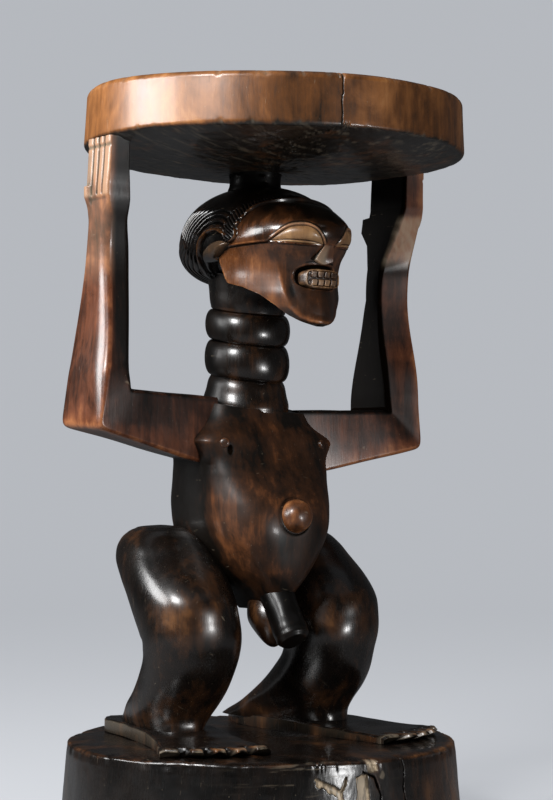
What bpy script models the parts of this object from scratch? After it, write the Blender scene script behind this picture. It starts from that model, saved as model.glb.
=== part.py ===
"""Caryatid stool: a crouching figure on a round base carries a round seat on its head and raised hands.

The figure faces -Y, its left side is +X and +Z is up. The origin is the middle of the base's underside.
Lengths are metres. Each piece is one carved mass, which ends at a boundary line of the carving.
"""

import math

import bmesh
import bpy
from mathutils import Matrix, Vector

# Clearance between neighbouring pieces
GAP = 0.0003

# Slight lean of the hand-carved figure and seat, as sideways and forward run for each unit of height
LEAN_LEFT = 0.0178
LEAN_FORWARD = 0.0120

# Base
BASE_HEIGHT = 0.062
BASE_FOOT_RADIUS = 0.147
BASE_TOP_RADIUS = 0.143
BASE_EDGE = 0.003

# Seat
SEAT_RADIUS = 0.141
SEAT_THICKNESS = 0.040
SEAT_DOME = 0.013
SEAT_DOME_FULLNESS = 3.5
SEAT_EDGE = 0.005
SEAT_LOWER_EDGE = 0.003

# Feet
FOOT_THICKNESS = 0.0095
FOOT_EDGE = 0.0025
TOE_THICKNESS = 0.007
TOE_LENGTH = 0.014
TOE_NOTCH = 0.0016
TOE_CORNER = 0.005
TOE_ROUNDING = 0.003
TOE_COUNT = 5

# Legs: heights, places of ankle, knee and hip beside and behind the middle, and half sizes there
SHIN_HEIGHT = 0.0655
THIGH_HEIGHT = 0.080
ANKLE_SPREAD = 0.056
KNEE_SPREAD = 0.0614
HIP_SPREAD = 0.058
KNEE_SETBACK = 0.001
ANKLE_SETBACK = 0.049
HIP_SETBACK = 0.050
KNEE_HALF_WIDTH = 0.0365
KNEE_HALF_LENGTH = 0.0345
ANKLE_HALF_WIDTH = 0.024
ANKLE_HALF_LENGTH = 0.056
THIGH_HALF_WIDTH = 0.038
THIGH_HALF_LENGTH = 0.054
LEG_SPLAY = math.radians(13)
LEG_SQUARENESS = 2.1
ANKLE_SQUARENESS = 2.7

# Trunk: crotch level below the top of the thighs, height, and reach from its widest line
CROTCH_DROP = 0.054
TRUNK_HEIGHT = 0.148
TRUNK_SETBACK = 0.022
TRUNK_HALF_WIDTH = 0.056
BELLY_REACH = 0.063
BACK_REACH = 0.058
TRUNK_SQUARENESS = 2.3
CHEST_SHARE = 0.80
SHOULDER_TILT = 0.07
NAVEL_RADIUS = 0.0115
NAVEL_LEVEL = 0.063
NIPPLE_RADIUS = 0.005
NIPPLE_LEVEL = 0.117
NIPPLE_ANGLE = math.radians(-42)

# Groin carving
GROIN_LENGTH = 0.037
GROIN_FORWARD = 0.026
GROIN_RADIUS = 0.0125
GROIN_ROOT_INSET = 0.0075
GROIN_ROOT_RISE = 0.005
GROIN_REAR_RADIUS = 0.0175
GROIN_REAR_DROP = 0.031
GROIN_REAR_INSET = 0.0185

# Neck
NECK_SETBACK = 0.030
NECK_RADIUS = 0.032
NECK_WAIST = 0.0275
NECK_SLOPE = math.radians(9)
COLLAR_BASE_HEIGHT = 0.018
RING_LOWER_HEIGHT = 0.0265
RING_UPPER_HEIGHT = 0.023
COLLAR_TOP_HEIGHT = 0.018
COLLAR_SINK = 0.011

# Head: reach before and behind the ear line, and heights above and below the top of the neck
HEAD_FRONT = 0.076
HEAD_BACK = 0.083
HEAD_HALF_WIDTH = 0.053
HEAD_RISE = 0.0745
CHIN_DROP = 0.031
BROW_RISE = 0.028
HAIRLINE = 0.022
HAIR_RIM = 0.0015
HAIR_TAIL_SHARE = 0.45
HEAD_SQUARENESS = 2.2
HEAD_MIDDLE_SHARES = (0.3, 0.7)
FACE_BACK_SHARE = 0.04
FACE_SQUARENESS = 1.8
EYE_HALF_WIDTH = 0.020
EYE_HALF_HEIGHT = 0.0085
EYE_HALF_DEPTH = 0.0055
EYE_LEVEL = 0.0315
EYE_ANGLE = math.radians(-57)
EYE_SPAN = math.radians(12)
NOSE_HALF_WIDTH = 0.0105
NOSE_HEIGHT = 0.017
NOSE_REACH = 0.0065
NOSE_LEVEL = 0.0125
NOSE_BRIDGE = 0.0035
NOSE_TIP = 0.005
NOSE_RIDGE = 0.001
MOUTH_HALF_WIDTH = 0.018
MOUTH_HALF_HEIGHT = 0.0105
MOUTH_DEPTH = 0.018
MOUTH_LEVEL = 0.0005
MOUTH_REACH = 0.003
MOUTH_SQUARENESS = 4.5
EAR_HALF_HEIGHT = 0.0125
EAR_HALF_LENGTH = 0.0115
EAR_HALF_THICKNESS = 0.0055
EAR_SETBACK = -0.004
EAR_ANGLE = math.radians(-8)
POST_HEIGHT = 0.0105
POST_RADIUS = 0.0195
POST_SETBACK = 0.024
POST_SINK = 0.017

# Arms: the elbow's block, the shoulder end, and the hand below the seat
HAND_PROUD = 0.001
HAND_BACK_OUTSIDE = 0.029
HAND_BACK_INSIDE = 0.044
HAND_FRONT = -0.003
HAND_THICKNESS = 0.0175
HAND_LENGTH = 0.057
THUMB_REACH = 0.010
THUMB_DROP = 0.037
ELBOW_OUT = 0.004
ELBOW_WIDTH = 0.0285
ELBOW_FRONT = -0.005
ELBOW_BACK = 0.053
ELBOW_RISE_LEFT = -0.004
ELBOW_RISE_RIGHT = 0.005
ELBOW_DEPTH = 0.029
SHOULDER_DROP = 0.050
SHOULDER_TOP_DROP = 0.002
SHOULDER_FRONT = 0.013
SHOULDER_BACK = 0.054
SHOULDER_INNER = 0.036
SHOULDER_SPREAD = 0.055
FOREARM_WAIST_SETBACK = 0.009
FOREARM_WAIST_BACK = 0.043
FOREARM_WAIST_WIDTH = 0.0245
WRIST_FRONT = 0.005
WRIST_BACK = 0.038
WRIST_WIDTH = 0.0225
ARM_SQUARENESS = 7.0
FOREARM_LOWER_SHARE = 0.30
FOREARM_WAIST_SHARE = 0.70
FOREARM_LOWER_TAPER = 0.8
FOREARM_LOWER_SETBACK_SHARE = 0.4
THUMB_LOW_SHARE = 0.45
THUMB_BLEND = 0.6

# How finely round shapes are divided
DISC_SIDES = 56
DOME_STEPS = 8
EDGE_STEPS = 3
NECK_SIDES = 28
LIMB_SIDES = 24
ARM_SIDES = 16
BEAD_SIDES = 14

# Sections of the trunk, from crotch to shoulders:
# share of its height, of its half width, of the belly's reach and of the back's reach
TRUNK_SECTIONS = (
    (0.00, 0.24, 0.73, 0.05),
    (0.05, 0.36, 0.81, 0.48),
    (0.12, 0.53, 0.90, 0.74),
    (0.25, 0.76, 0.98, 0.94),
    (0.35, 0.87, 1.00, 1.00),
    (0.47, 0.92, 0.95, 1.00),
    (0.62, 0.97, 0.73, 0.83),
    (0.73, 1.00, 0.58, 0.70),
    (0.80, 1.07, 0.52, 0.64),
    (0.86, 1.06, 0.47, 0.60),
    (0.93, 0.93, 0.41, 0.58),
    (1.00, 0.72, 0.37, 0.55),
)
# Sections of the thigh, from knee to hip: share of its height, of the way from knee to hip,
# of the step from the knee's half width to the thigh's, and of that step in half length
THIGH_SECTIONS = (
    (0.16, 0.14, 0.70, 0.38),
    (0.35, 0.35, 1.00, 0.78),
    (0.54, 0.64, 0.60, 0.86),
    (0.73, 0.92, -1.70, 0.60),
    (0.85, 1.02, -4.40, 0.25),
    (0.95, 1.06, -9.70, -0.25),
    (1.00, 1.06, -17.7, -0.91),
)
# Sections of the shin, from ankle to below the knee: share of its height,
# and of the way from knee to ankle in place, half width and half length
SHIN_SECTIONS = (
    (0.00, 1.00, 1.00, 1.00),
    (0.10, 0.86, 0.76, 0.66),
    (0.22, 0.68, 0.50, 0.42),
    (0.39, 0.41, 0.34, 0.20),
    (0.59, 0.19, 0.24, 0.10),
    (0.86, 0.02, 0.11, -0.06),
)
# Sections of the head: share of its reach behind (or, if negative, before) the ear line,
# of its half width, of its rise above the neck, and of the chin's drop below it
HEAD_BACK_SECTIONS = (
    (0.00, 0.99, 1.00, 0.02),
    (0.24, 1.00, 1.00, -0.05),
    (0.48, 0.96, 0.97, -0.08),
    (0.72, 0.80, 0.89, -0.18),
    (0.87, 0.57, 0.77, -0.34),
    (0.965, 0.28, 0.60, -0.63),
)
HAIRLINE_SECTION = (-HAIRLINE / HEAD_FRONT, 0.95, 0.94, 0.18)
# Level sections of the face, from chin to hairline: share of the chin's drop (if negative) or of the head's
# rise, of the head's half width, and of its reach before the ear line at the section's front and flat back
FACE_SECTIONS = (
    (-1.00, 0.15, 0.87, 0.79),
    (-0.86, 0.29, 0.90, 0.76),
    (-0.60, 0.46, 0.88, 0.69),
    (-0.28, 0.63, 0.83, 0.52),
    (0.00, 0.76, 0.80, HAIRLINE / HEAD_FRONT),
    (0.10, 0.85, 0.80, HAIRLINE / HEAD_FRONT),
    (0.21, 0.91, 0.83, HAIRLINE / HEAD_FRONT),
    (0.32, 0.93, 0.92, HAIRLINE / HEAD_FRONT),
    (0.41, 0.935, 0.99, HAIRLINE / HEAD_FRONT),
    (0.49, 0.925, 1.00, HAIRLINE / HEAD_FRONT),
    (0.59, 0.88, 0.94, HAIRLINE / HEAD_FRONT),
    (0.70, 0.80, 0.79, HAIRLINE / HEAD_FRONT),
    (0.79, 0.68, 0.62, HAIRLINE / HEAD_FRONT),
    (0.87, 0.50, 0.46, HAIRLINE / HEAD_FRONT),
    (0.92, 0.32, 0.36, HAIRLINE / HEAD_FRONT),
)
# Sections of the groin's front mass, from root to end: share of its length and of its radius
GROIN_SECTIONS = (
    (0.00, 0.72),
    (0.30, 0.78),
    (0.42, 0.98),
    (0.75, 1.00),
    (0.92, 0.80),
    (1.00, 0.45),
)
# Outline of the left foot as shares of the base's top radius, round from the little toe's corner
FOOT_LITTLE_TOE = (0.845, -0.385)
FOOT_TOE_BULGE = (0.665, -0.700)
FOOT_BIG_TOE = (0.345, -0.600)
FOOT_INNER_EDGE = (
    (0.300, -0.170),
    (0.215, 0.200),
    (0.230, 0.590),
    (0.320, 0.800),
)
FOOT_OUTER_EDGE = (
    (0.425, 0.825),
    (0.510, 0.740),
    (0.580, 0.390),
    (0.700, -0.070),
)

# Levels, from the base up
FOOT_TOP = BASE_HEIGHT + FOOT_THICKNESS
KNEE_LEVEL = FOOT_TOP + SHIN_HEIGHT
HIP_LEVEL = KNEE_LEVEL + THIGH_HEIGHT
CROTCH_LEVEL = HIP_LEVEL - CROTCH_DROP
SHOULDER_LEVEL = CROTCH_LEVEL + TRUNK_HEIGHT
COLLAR_BASE_LEVEL = SHOULDER_LEVEL + COLLAR_BASE_HEIGHT
RING_LOWER_LEVEL = COLLAR_BASE_LEVEL + RING_LOWER_HEIGHT
RING_UPPER_LEVEL = RING_LOWER_LEVEL + RING_UPPER_HEIGHT
NECK_LEVEL = RING_UPPER_LEVEL + COLLAR_TOP_HEIGHT
HEAD_TOP_LEVEL = NECK_LEVEL + HEAD_RISE
DOME_LEVEL = HEAD_TOP_LEVEL + POST_HEIGHT
SEAT_RIM_LEVEL = DOME_LEVEL + SEAT_DOME
SEAT_TOP_LEVEL = SEAT_RIM_LEVEL + SEAT_THICKNESS
HAND_OUT = SEAT_RADIUS + HAND_PROUD

# Finishes: colour and roughness
DARK_WOOD = ((0.030, 0.016, 0.012, 1.0), 0.28)
RED_WOOD = ((0.085, 0.033, 0.020, 1.0), 0.30)
SEAT_WOOD = ((0.200, 0.085, 0.040, 1.0), 0.34)
PALE_WOOD = ((0.300, 0.190, 0.100, 1.0), 0.42)


def clear_scene():
    for thing in list(bpy.data.objects):
        bpy.data.objects.remove(thing, do_unlink=True)


def finish(piece, wood):
    """Gives a piece its own material."""
    colour, roughness = wood
    material = bpy.data.materials.new(piece.name + "_wood")
    material.use_nodes = True
    shader = material.node_tree.nodes["Principled BSDF"]
    shader.inputs["Base Color"].default_value = colour
    shader.inputs["Roughness"].default_value = roughness
    shader.inputs["Metallic"].default_value = 0.0
    piece.data.materials.append(material)


def leaned(point):
    """Where a point of the upright figure goes when it leans, so that the seat ends square to the lean."""
    height = point.z - BASE_HEIGHT
    share = height / (SEAT_TOP_LEVEL - BASE_HEIGHT)
    sink = share * (LEAN_LEFT * point.x - LEAN_FORWARD * point.y)
    return Vector((point.x + LEAN_LEFT * height, point.y - LEAN_FORWARD * height, point.z - sink))


def add_piece(name, shape, wood, leans=True):
    """Turns a bmesh into a named object with outward triangles, smooth shading and the figure's lean."""
    bmesh.ops.triangulate(shape, faces=shape.faces, quad_method="FIXED")
    bmesh.ops.recalc_face_normals(shape, faces=shape.faces)
    if leans:
        for vert in shape.verts:
            vert.co = leaned(vert.co)
    mesh = bpy.data.meshes.new(name)
    shape.to_mesh(mesh)
    shape.free()
    mesh.shade_smooth()
    mesh.set_sharp_from_angle(angle=math.radians(40))
    piece = bpy.data.objects.new(name, mesh)
    bpy.context.scene.collection.objects.link(piece)
    finish(piece, wood)
    return piece


def cut(piece, *tools):
    """Takes the space of each tool out of a piece, and keeps the tools as hidden guides."""
    for tool in tools:
        tool.hide_render = True
        tool.display_type = "WIRE"
        modifier = piece.modifiers.new("cut_by_" + tool.name, "BOOLEAN")
        modifier.operation = "DIFFERENCE"
        modifier.solver = "EXACT"
        modifier.object = tool


def skin(rings):
    """A closed body through rings of points, with a cap on each end."""
    shape = bmesh.new()
    loops = [[shape.verts.new(point) for point in ring] for ring in rings]
    for lower, upper in zip(loops, loops[1:]):
        for i in range(len(lower)):
            j = (i + 1) % len(lower)
            shape.faces.new((lower[i], lower[j], upper[j], upper[i]))
    shape.faces.new(loops[0])
    shape.faces.new(loops[-1])
    return shape


def turned(profile, sides):
    """A body turned round the Z axis from (radius, height) points. It starts and ends on the axis."""
    shape = bmesh.new()
    verts = [shape.verts.new((radius, 0.0, height)) for radius, height in profile]
    edges = [shape.edges.new(pair) for pair in zip(verts, verts[1:])]
    bmesh.ops.spin(
        shape,
        geom=verts + edges,
        cent=(0, 0, 0),
        axis=(0, 0, 1),
        angle=2 * math.pi,
        steps=sides,
        use_merge=True,
    )
    bmesh.ops.remove_doubles(shape, verts=shape.verts, dist=1e-6)
    return shape


def bead(radii, place, turn=None):
    """An ellipsoid with the given half sizes at a place, turned by a matrix."""
    shape = bmesh.new()
    bmesh.ops.create_uvsphere(shape, u_segments=BEAD_SIDES, v_segments=BEAD_SIDES // 2, radius=1.0)
    matrix = Matrix.Diagonal((*radii, 1.0))
    if turn is not None:
        matrix = turn.to_4x4() @ matrix
    bmesh.ops.transform(shape, matrix=Matrix.Translation(place) @ matrix, verts=shape.verts)
    return shape


def outline_point(angle, half_width, low, high, middle, squareness=2.0):
    """A point at an angle on a rounded outline that is widest at middle and runs from low to high."""
    side, rise = math.cos(angle), math.sin(angle)
    across = half_width * math.copysign(abs(side) ** (2 / squareness), side)
    reach = high - middle if rise > 0 else middle - low
    along = middle + reach * math.copysign(abs(rise) ** (2 / squareness), rise)
    return across, along


def round_angles(sides):
    return [2 * math.pi * i / sides for i in range(sides)]


def mix(start, end, share):
    return start + (end - start) * share


def arc(start_angle, end_angle, steps):
    return [mix(start_angle, end_angle, i / steps) for i in range(steps + 1)]


def rounded_edge(radius, level, edge, upward):
    """Profile points of a quarter-round edge that ends the side of a disc, from inside to outside."""
    points = []
    for angle in arc(math.pi / 2, 0.0, EDGE_STEPS):
        rise = edge * math.sin(angle) - edge
        points.append((radius - edge + edge * math.cos(angle), level + (rise if upward else -rise)))
    return points


def build_base():
    top = rounded_edge(BASE_TOP_RADIUS, BASE_HEIGHT, BASE_EDGE, True)
    foot = rounded_edge(BASE_FOOT_RADIUS, 0.0, BASE_EDGE, False)
    profile = [(0.0, BASE_HEIGHT), *top, *reversed(foot), (0.0, 0.0)]
    add_piece("base", turned(profile, DISC_SIDES), DARK_WOOD, leans=False)


def seat_shape(grow=0.0):
    """The seat's disc with its domed underside. The shape sinks below its rim towards the middle."""
    radius, rim, top = SEAT_RADIUS + grow, SEAT_RIM_LEVEL - grow, SEAT_TOP_LEVEL + grow
    profile = [(0.0, top), *rounded_edge(radius, top, SEAT_EDGE, True)]
    profile += reversed(rounded_edge(radius, rim, SEAT_LOWER_EDGE, False))
    for step in range(1, DOME_STEPS + 1):
        share = 1.0 - step / DOME_STEPS
        sag = SEAT_DOME * (1.0 - share**SEAT_DOME_FULLNESS)
        profile.append(((radius - SEAT_LOWER_EDGE) * share, rim - sag))
    return turned(profile, DISC_SIDES)


def foot_outline():
    """Points round the left foot, seen from above: five toes, the inner edge, the heel and the outer edge."""
    little, bulge, big = (Vector(point) for point in (FOOT_LITTLE_TOE, FOOT_TOE_BULGE, FOOT_BIG_TOE))

    def tip(share):
        return BASE_TOP_RADIUS * (
            little * (1 - share) ** 2 + 2 * bulge * share * (1 - share) + big * share**2
        )

    heel = BASE_TOP_RADIUS * Vector(FOOT_OUTER_EDGE[0])
    points = []
    for toe in range(TOE_COUNT):
        first, last = tip(toe / TOE_COUNT), tip((toe + 1) / TOE_COUNT)
        along = (last - first).normalized()
        back = (heel - (first + last) / 2).normalized()
        first_side = first + along * (TOE_NOTCH / 2 if toe else 0.0)
        last_side = last - along * (TOE_NOTCH / 2 if toe < TOE_COUNT - 1 else 0.0)
        points.append((first_side + back * TOE_CORNER, True))
        points.append((first_side + along * TOE_ROUNDING, True))
        points.append((last_side - along * TOE_ROUNDING, True))
        points.append((last_side + back * TOE_CORNER, True))
        if toe < TOE_COUNT - 1:
            points.append((last + back * TOE_LENGTH, True))
    for edge in (FOOT_INNER_EDGE, FOOT_OUTER_EDGE):
        points.extend((BASE_TOP_RADIUS * Vector(point), False) for point in edge)
    return points


def build_foot(name, side):
    """A low slab under the shin, thinner at the toes, with a bevelled upper edge."""
    outline = foot_outline()
    middle = sum((point for point, _ in outline), Vector((0.0, 0.0))) / len(outline)
    sole, wall, top = [], [], []
    for point, is_toe in outline:
        thickness = TOE_THICKNESS if is_toe else FOOT_THICKNESS
        inward = (middle - point).normalized() * FOOT_EDGE
        level = BASE_HEIGHT + GAP
        sole.append((side * point.x, point.y, level))
        wall.append((side * point.x, point.y, BASE_HEIGHT + thickness - FOOT_EDGE))
        top.append((side * (point.x + inward.x), point.y + inward.y, BASE_HEIGHT + thickness))
    add_piece(name, skin([sole, wall, top]), DARK_WOOD)


def leg_ring(place, half_width, half_length, level, side, squareness):
    """A level section of a leg, turned outward with the leg's splay."""
    turn = Matrix.Rotation(side * LEG_SPLAY, 2)
    centre = Vector((side * place[0], place[1]))
    ring = []
    for angle in round_angles(LIMB_SIDES):
        across, along = outline_point(angle, half_width, -half_length, half_length, 0.0, squareness)
        point = centre + turn @ Vector((across, along))
        ring.append((point.x, point.y, level))
    return ring


def build_shin(name, side):
    knee, ankle = (KNEE_SPREAD, KNEE_SETBACK), (ANKLE_SPREAD, ANKLE_SETBACK)
    bottom, top = FOOT_TOP + GAP, KNEE_LEVEL - GAP / 2
    rings = []
    for height, way, width, length in (*SHIN_SECTIONS, (1.0, 0.0, 0.0, 0.0)):
        place = [mix(knee[i], ankle[i], way) for i in range(2)]
        half_width = mix(KNEE_HALF_WIDTH, ANKLE_HALF_WIDTH, width)
        half_length = mix(KNEE_HALF_LENGTH, ANKLE_HALF_LENGTH, length)
        level = mix(bottom, top, height)
        squareness = mix(LEG_SQUARENESS, ANKLE_SQUARENESS, way)
        rings.append(leg_ring(place, half_width, half_length, level, side, squareness))
    add_piece(name, skin(rings), DARK_WOOD)


def build_thigh(name, side, torso_tool):
    knee, hip = (KNEE_SPREAD, KNEE_SETBACK), (HIP_SPREAD, HIP_SETBACK)
    rings = []
    for height, way, width, length in ((0.0, 0.0, 0.0, 0.0), *THIGH_SECTIONS):
        place = [mix(knee[i], hip[i], way) for i in range(2)]
        half_width = mix(KNEE_HALF_WIDTH, THIGH_HALF_WIDTH, width)
        half_length = mix(KNEE_HALF_LENGTH, THIGH_HALF_LENGTH, length)
        level = mix(KNEE_LEVEL + GAP / 2, HIP_LEVEL, height)
        rings.append(leg_ring(place, half_width, half_length, level, side, LEG_SQUARENESS))
    cut(add_piece(name, skin(rings), DARK_WOOD), torso_tool)


def trunk_section(share):
    """Half width, front and back of the trunk at a share of its height."""
    for lower, upper in zip(TRUNK_SECTIONS, TRUNK_SECTIONS[1:]):
        if share <= upper[0]:
            step = (share - lower[0]) / (upper[0] - lower[0])
            width, belly, back = (mix(lower[i], upper[i], step) for i in (1, 2, 3))
            break
    front = TRUNK_SETBACK - BELLY_REACH * belly
    return TRUNK_HALF_WIDTH * width, front, TRUNK_SETBACK + BACK_REACH * back


def trunk_point(share, angle, grow=0.0):
    """A point on the trunk's skin at a share of its height. The shoulders slope to the front and the left."""
    half_width, front, back = trunk_section(share)
    across, along = outline_point(
        angle, half_width + grow, front - grow, back + grow, TRUNK_SETBACK, TRUNK_SQUARENESS
    )
    slope = max(0.0, share - CHEST_SHARE) / (1.0 - CHEST_SHARE)
    drop = SHOULDER_TILT * across - math.tan(NECK_SLOPE) * (along - NECK_SETBACK)
    return Vector((across, along, CROTCH_LEVEL + TRUNK_HEIGHT * share - slope * drop))


def trunk_shape(grow=0.0):
    """The trunk, from crotch to shoulders."""
    rings = []
    last = len(TRUNK_SECTIONS) - 1
    for i, (share, *_) in enumerate(TRUNK_SECTIONS):
        lift = Vector((0.0, 0.0, grow * ((i == last) - (i == 0))))
        rings.append([trunk_point(share, angle, grow) + lift for angle in round_angles(NECK_SIDES)])
    return skin(rings)


def build_chest_details(torso_tool):
    place = trunk_point(NAVEL_LEVEL / TRUNK_HEIGHT, -math.pi / 2)
    navel = add_piece("navel", bead([NAVEL_RADIUS] * 3, place), RED_WOOD)
    cut(navel, torso_tool)
    for name, side in (("nipple_left", 1), ("nipple_right", -1)):
        place = trunk_point(NIPPLE_LEVEL / TRUNK_HEIGHT, NIPPLE_ANGLE)
        place.x *= side
        nipple = add_piece(name, bead([NIPPLE_RADIUS] * 3, place), RED_WOOD)
        cut(nipple, torso_tool)


def groin_front_shape(grow=0.0):
    """The front mass, a rounded rod that slopes forward and down from the crotch."""
    root = Vector((0.0, trunk_section(0.0)[1] + GROIN_ROOT_INSET, CROTCH_LEVEL + GROIN_ROOT_RISE))
    axis = Vector((0.0, -GROIN_FORWARD, -GROIN_LENGTH))
    side = Vector((1.0, 0.0, 0.0))
    front = axis.cross(side).normalized()
    rings = []
    for share, width in GROIN_SECTIONS:
        centre = root + axis * share + axis.normalized() * grow * ((share == 1.0) - (share == 0.0))
        radius = GROIN_RADIUS * width + grow
        rings.append(
            [
                centre + side * radius * math.cos(angle) + front * radius * math.sin(angle)
                for angle in round_angles(BEAD_SIDES)
            ]
        )
    return skin(rings)


def build_groin(torso_tool):
    front = add_piece("groin_front", groin_front_shape(), DARK_WOOD)
    cut(front, torso_tool)
    tool = add_piece("groin_front_tool", groin_front_shape(GAP), DARK_WOOD)
    level = CROTCH_LEVEL + GROIN_REAR_RADIUS - GROIN_REAR_DROP
    place = Vector((0.0, trunk_section(0.0)[1] + GROIN_REAR_INSET, level))
    rear = add_piece("groin_rear", bead([GROIN_REAR_RADIUS] * 3, place), DARK_WOOD)
    cut(rear, torso_tool, tool)


def neck_shape(bottom, top, upper_waist, lower_waist):
    """One bulging neck ring, whose faces slope down towards the front."""
    profile = [(0.0, top)]
    for angle in arc(math.pi / 2, -math.pi / 2, 6):
        waist = upper_waist if angle > 0 else lower_waist
        radius = mix(waist, NECK_RADIUS, math.cos(angle))
        profile.append((radius, mix(bottom, top, (1 + math.sin(angle)) / 2)))
    profile.append((0.0, bottom))
    shape = turned(profile, NECK_SIDES)
    for vert in shape.verts:
        vert.co.z += math.tan(NECK_SLOPE) * vert.co.y
        vert.co.y += NECK_SETBACK
    return shape


def build_neck(torso_tool, head_tools):
    half = GAP / 2
    shape = neck_shape(SHOULDER_LEVEL - COLLAR_SINK, COLLAR_BASE_LEVEL - half, NECK_WAIST, NECK_RADIUS)
    cut(add_piece("neck_collar_base", shape, DARK_WOOD), torso_tool)
    shape = neck_shape(COLLAR_BASE_LEVEL + half, RING_LOWER_LEVEL - half, NECK_WAIST, NECK_WAIST)
    add_piece("neck_ring_lower", shape, DARK_WOOD)
    shape = neck_shape(RING_LOWER_LEVEL + half, RING_UPPER_LEVEL - half, NECK_WAIST, NECK_WAIST)
    add_piece("neck_ring_upper", shape, DARK_WOOD)
    shape = neck_shape(RING_UPPER_LEVEL + half, NECK_LEVEL + COLLAR_SINK, NECK_RADIUS, NECK_WAIST)
    cut(add_piece("neck_collar_top", shape, DARK_WOOD), *head_tools)


def head_section(row, grow=0.0):
    """Place along Y, half width, underside and top of one section of the head."""
    share, width, rise, drop = row
    reach = HEAD_BACK if share > 0 else HEAD_FRONT
    low = NECK_LEVEL - CHIN_DROP * drop - grow
    return reach * share, HEAD_HALF_WIDTH * width + grow, low, NECK_LEVEL + HEAD_RISE * rise + grow


def head_ring(y, half_width, low, high):
    """A section of the head square to Y, widest at the brow."""
    lowest, highest = (mix(low, high, share) for share in HEAD_MIDDLE_SHARES)
    middle = min(max(NECK_LEVEL + BROW_RISE, lowest), highest)
    ring = []
    for angle in round_angles(LIMB_SIDES):
        across, up = outline_point(angle, half_width, low, high, middle, HEAD_SQUARENESS)
        ring.append((across, y, up))
    return ring


def coiffure_shape(grow=0.0):
    """The hair, from the hairline back. It stands a rim's height proud of the face."""
    swell = grow + HAIR_RIM
    rows = (HAIRLINE_SECTION, *HEAD_BACK_SECTIONS)
    rings = [head_ring(*head_section(row, swell)) for row in rows]
    _, half_width, low, high = head_section(HEAD_BACK_SECTIONS[-1], swell)
    middle, tail = mix(low, high, 0.5), HAIR_TAIL_SHARE
    rings.append(
        head_ring(HEAD_BACK + grow, half_width * tail, mix(middle, low, tail), mix(middle, high, tail))
    )
    rings[0] = [(x, y - grow, z) for x, y, z in rings[0]]
    return skin(rings)


def face_section(rise):
    """Half width, front and back of the face at a height above the top of the neck."""
    share = rise / (HEAD_RISE if rise > 0 else CHIN_DROP)
    for lower, upper in zip(FACE_SECTIONS, FACE_SECTIONS[1:]):
        if share <= upper[0]:
            step = (share - lower[0]) / (upper[0] - lower[0])
            break
    width, front, back = (mix(lower[i], upper[i], step) for i in (1, 2, 3))
    return HEAD_HALF_WIDTH * width, -HEAD_FRONT * front, -HEAD_FRONT * back


def face_point(rise, angle, grow=0.0):
    """A point on the face's skin, which is pointed in front and flat where it meets the hair."""
    half_width, front, back = face_section(rise)
    flat = (back - front) * FACE_BACK_SHARE
    across, along = outline_point(
        angle, half_width + grow, front - grow, back + grow, back - flat, FACE_SQUARENESS
    )
    return Vector((across, along, NECK_LEVEL + rise))


def face_shape(grow=0.0):
    """The face, from the chin up to the hairline."""
    rings = []
    last = len(FACE_SECTIONS) - 1
    for i, (share, *_) in enumerate(FACE_SECTIONS):
        rise = share * (HEAD_RISE if share > 0 else CHIN_DROP)
        lift = Vector((0.0, -GAP, grow * ((i == last) - (i == 0))))
        rings.append([face_point(rise, angle, grow) + lift for angle in round_angles(LIMB_SIDES)])
    return skin(rings)


def eye_shape(side, grow=0.0):
    """A half-moon lens set flat on the skin of the face."""
    place = face_point(EYE_LEVEL, EYE_ANGLE)
    ends = [face_point(EYE_LEVEL, EYE_ANGLE + turn) for turn in (EYE_SPAN / 2, -EYE_SPAN / 2)]
    along = ends[0] - ends[1]
    slant = math.atan2(along.y, along.x)
    radii = (EYE_HALF_WIDTH + grow, EYE_HALF_DEPTH + grow, EYE_HALF_HEIGHT + grow)
    return bead(radii, (side * place.x, place.y, place.z), Matrix.Rotation(side * slant, 3, "Z"))


def nose_shape(grow=0.0):
    """A wedge on the front of the face, widest at the nostrils."""
    low_front = face_section(NOSE_LEVEL)[1]
    high_front = face_section(NOSE_LEVEL + NOSE_HEIGHT)[1]
    level = NECK_LEVEL + NOSE_LEVEL - grow
    top = NECK_LEVEL + NOSE_LEVEL + NOSE_HEIGHT + grow
    half, bridge, blunt = NOSE_HALF_WIDTH + grow, NOSE_BRIDGE + grow, NOSE_TIP + grow
    root, tip = low_front + NOSE_REACH + grow, low_front - NOSE_REACH - grow
    ridge = high_front - NOSE_RIDGE - grow
    base = [(-half, root, level), (half, root, level), (bridge, root, top), (-bridge, root, top)]
    crest = [(-blunt, tip, level), (blunt, tip, level), (bridge, ridge, top), (-bridge, ridge, top)]
    return skin([base, crest])


def mouth_shape(grow=0.0):
    """A rounded block with the two rows of teeth, sunk in the front of the face."""
    front = face_section(MOUTH_LEVEL)[1] - MOUTH_REACH
    half_width, half_height = MOUTH_HALF_WIDTH + grow, MOUTH_HALF_HEIGHT + grow
    rings = []
    for y in (front + MOUTH_DEPTH + grow, front - grow):
        ring = []
        for angle in round_angles(ARM_SIDES):
            across, up = outline_point(
                angle, half_width, -half_height, half_height, 0.0, MOUTH_SQUARENESS
            )
            ring.append((across, y, NECK_LEVEL + MOUTH_LEVEL + up))
        rings.append(ring)
    return skin(rings)


def ear_shape(side, grow=0.0):
    """A flat round ear on the side of the hair."""
    half_width = HEAD_HALF_WIDTH + HAIR_RIM
    place = (side * half_width, EAR_SETBACK, NECK_LEVEL + BROW_RISE + half_width * math.sin(EAR_ANGLE))
    return bead((EAR_HALF_THICKNESS + grow, EAR_HALF_LENGTH + grow, EAR_HALF_HEIGHT + grow), place)


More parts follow.
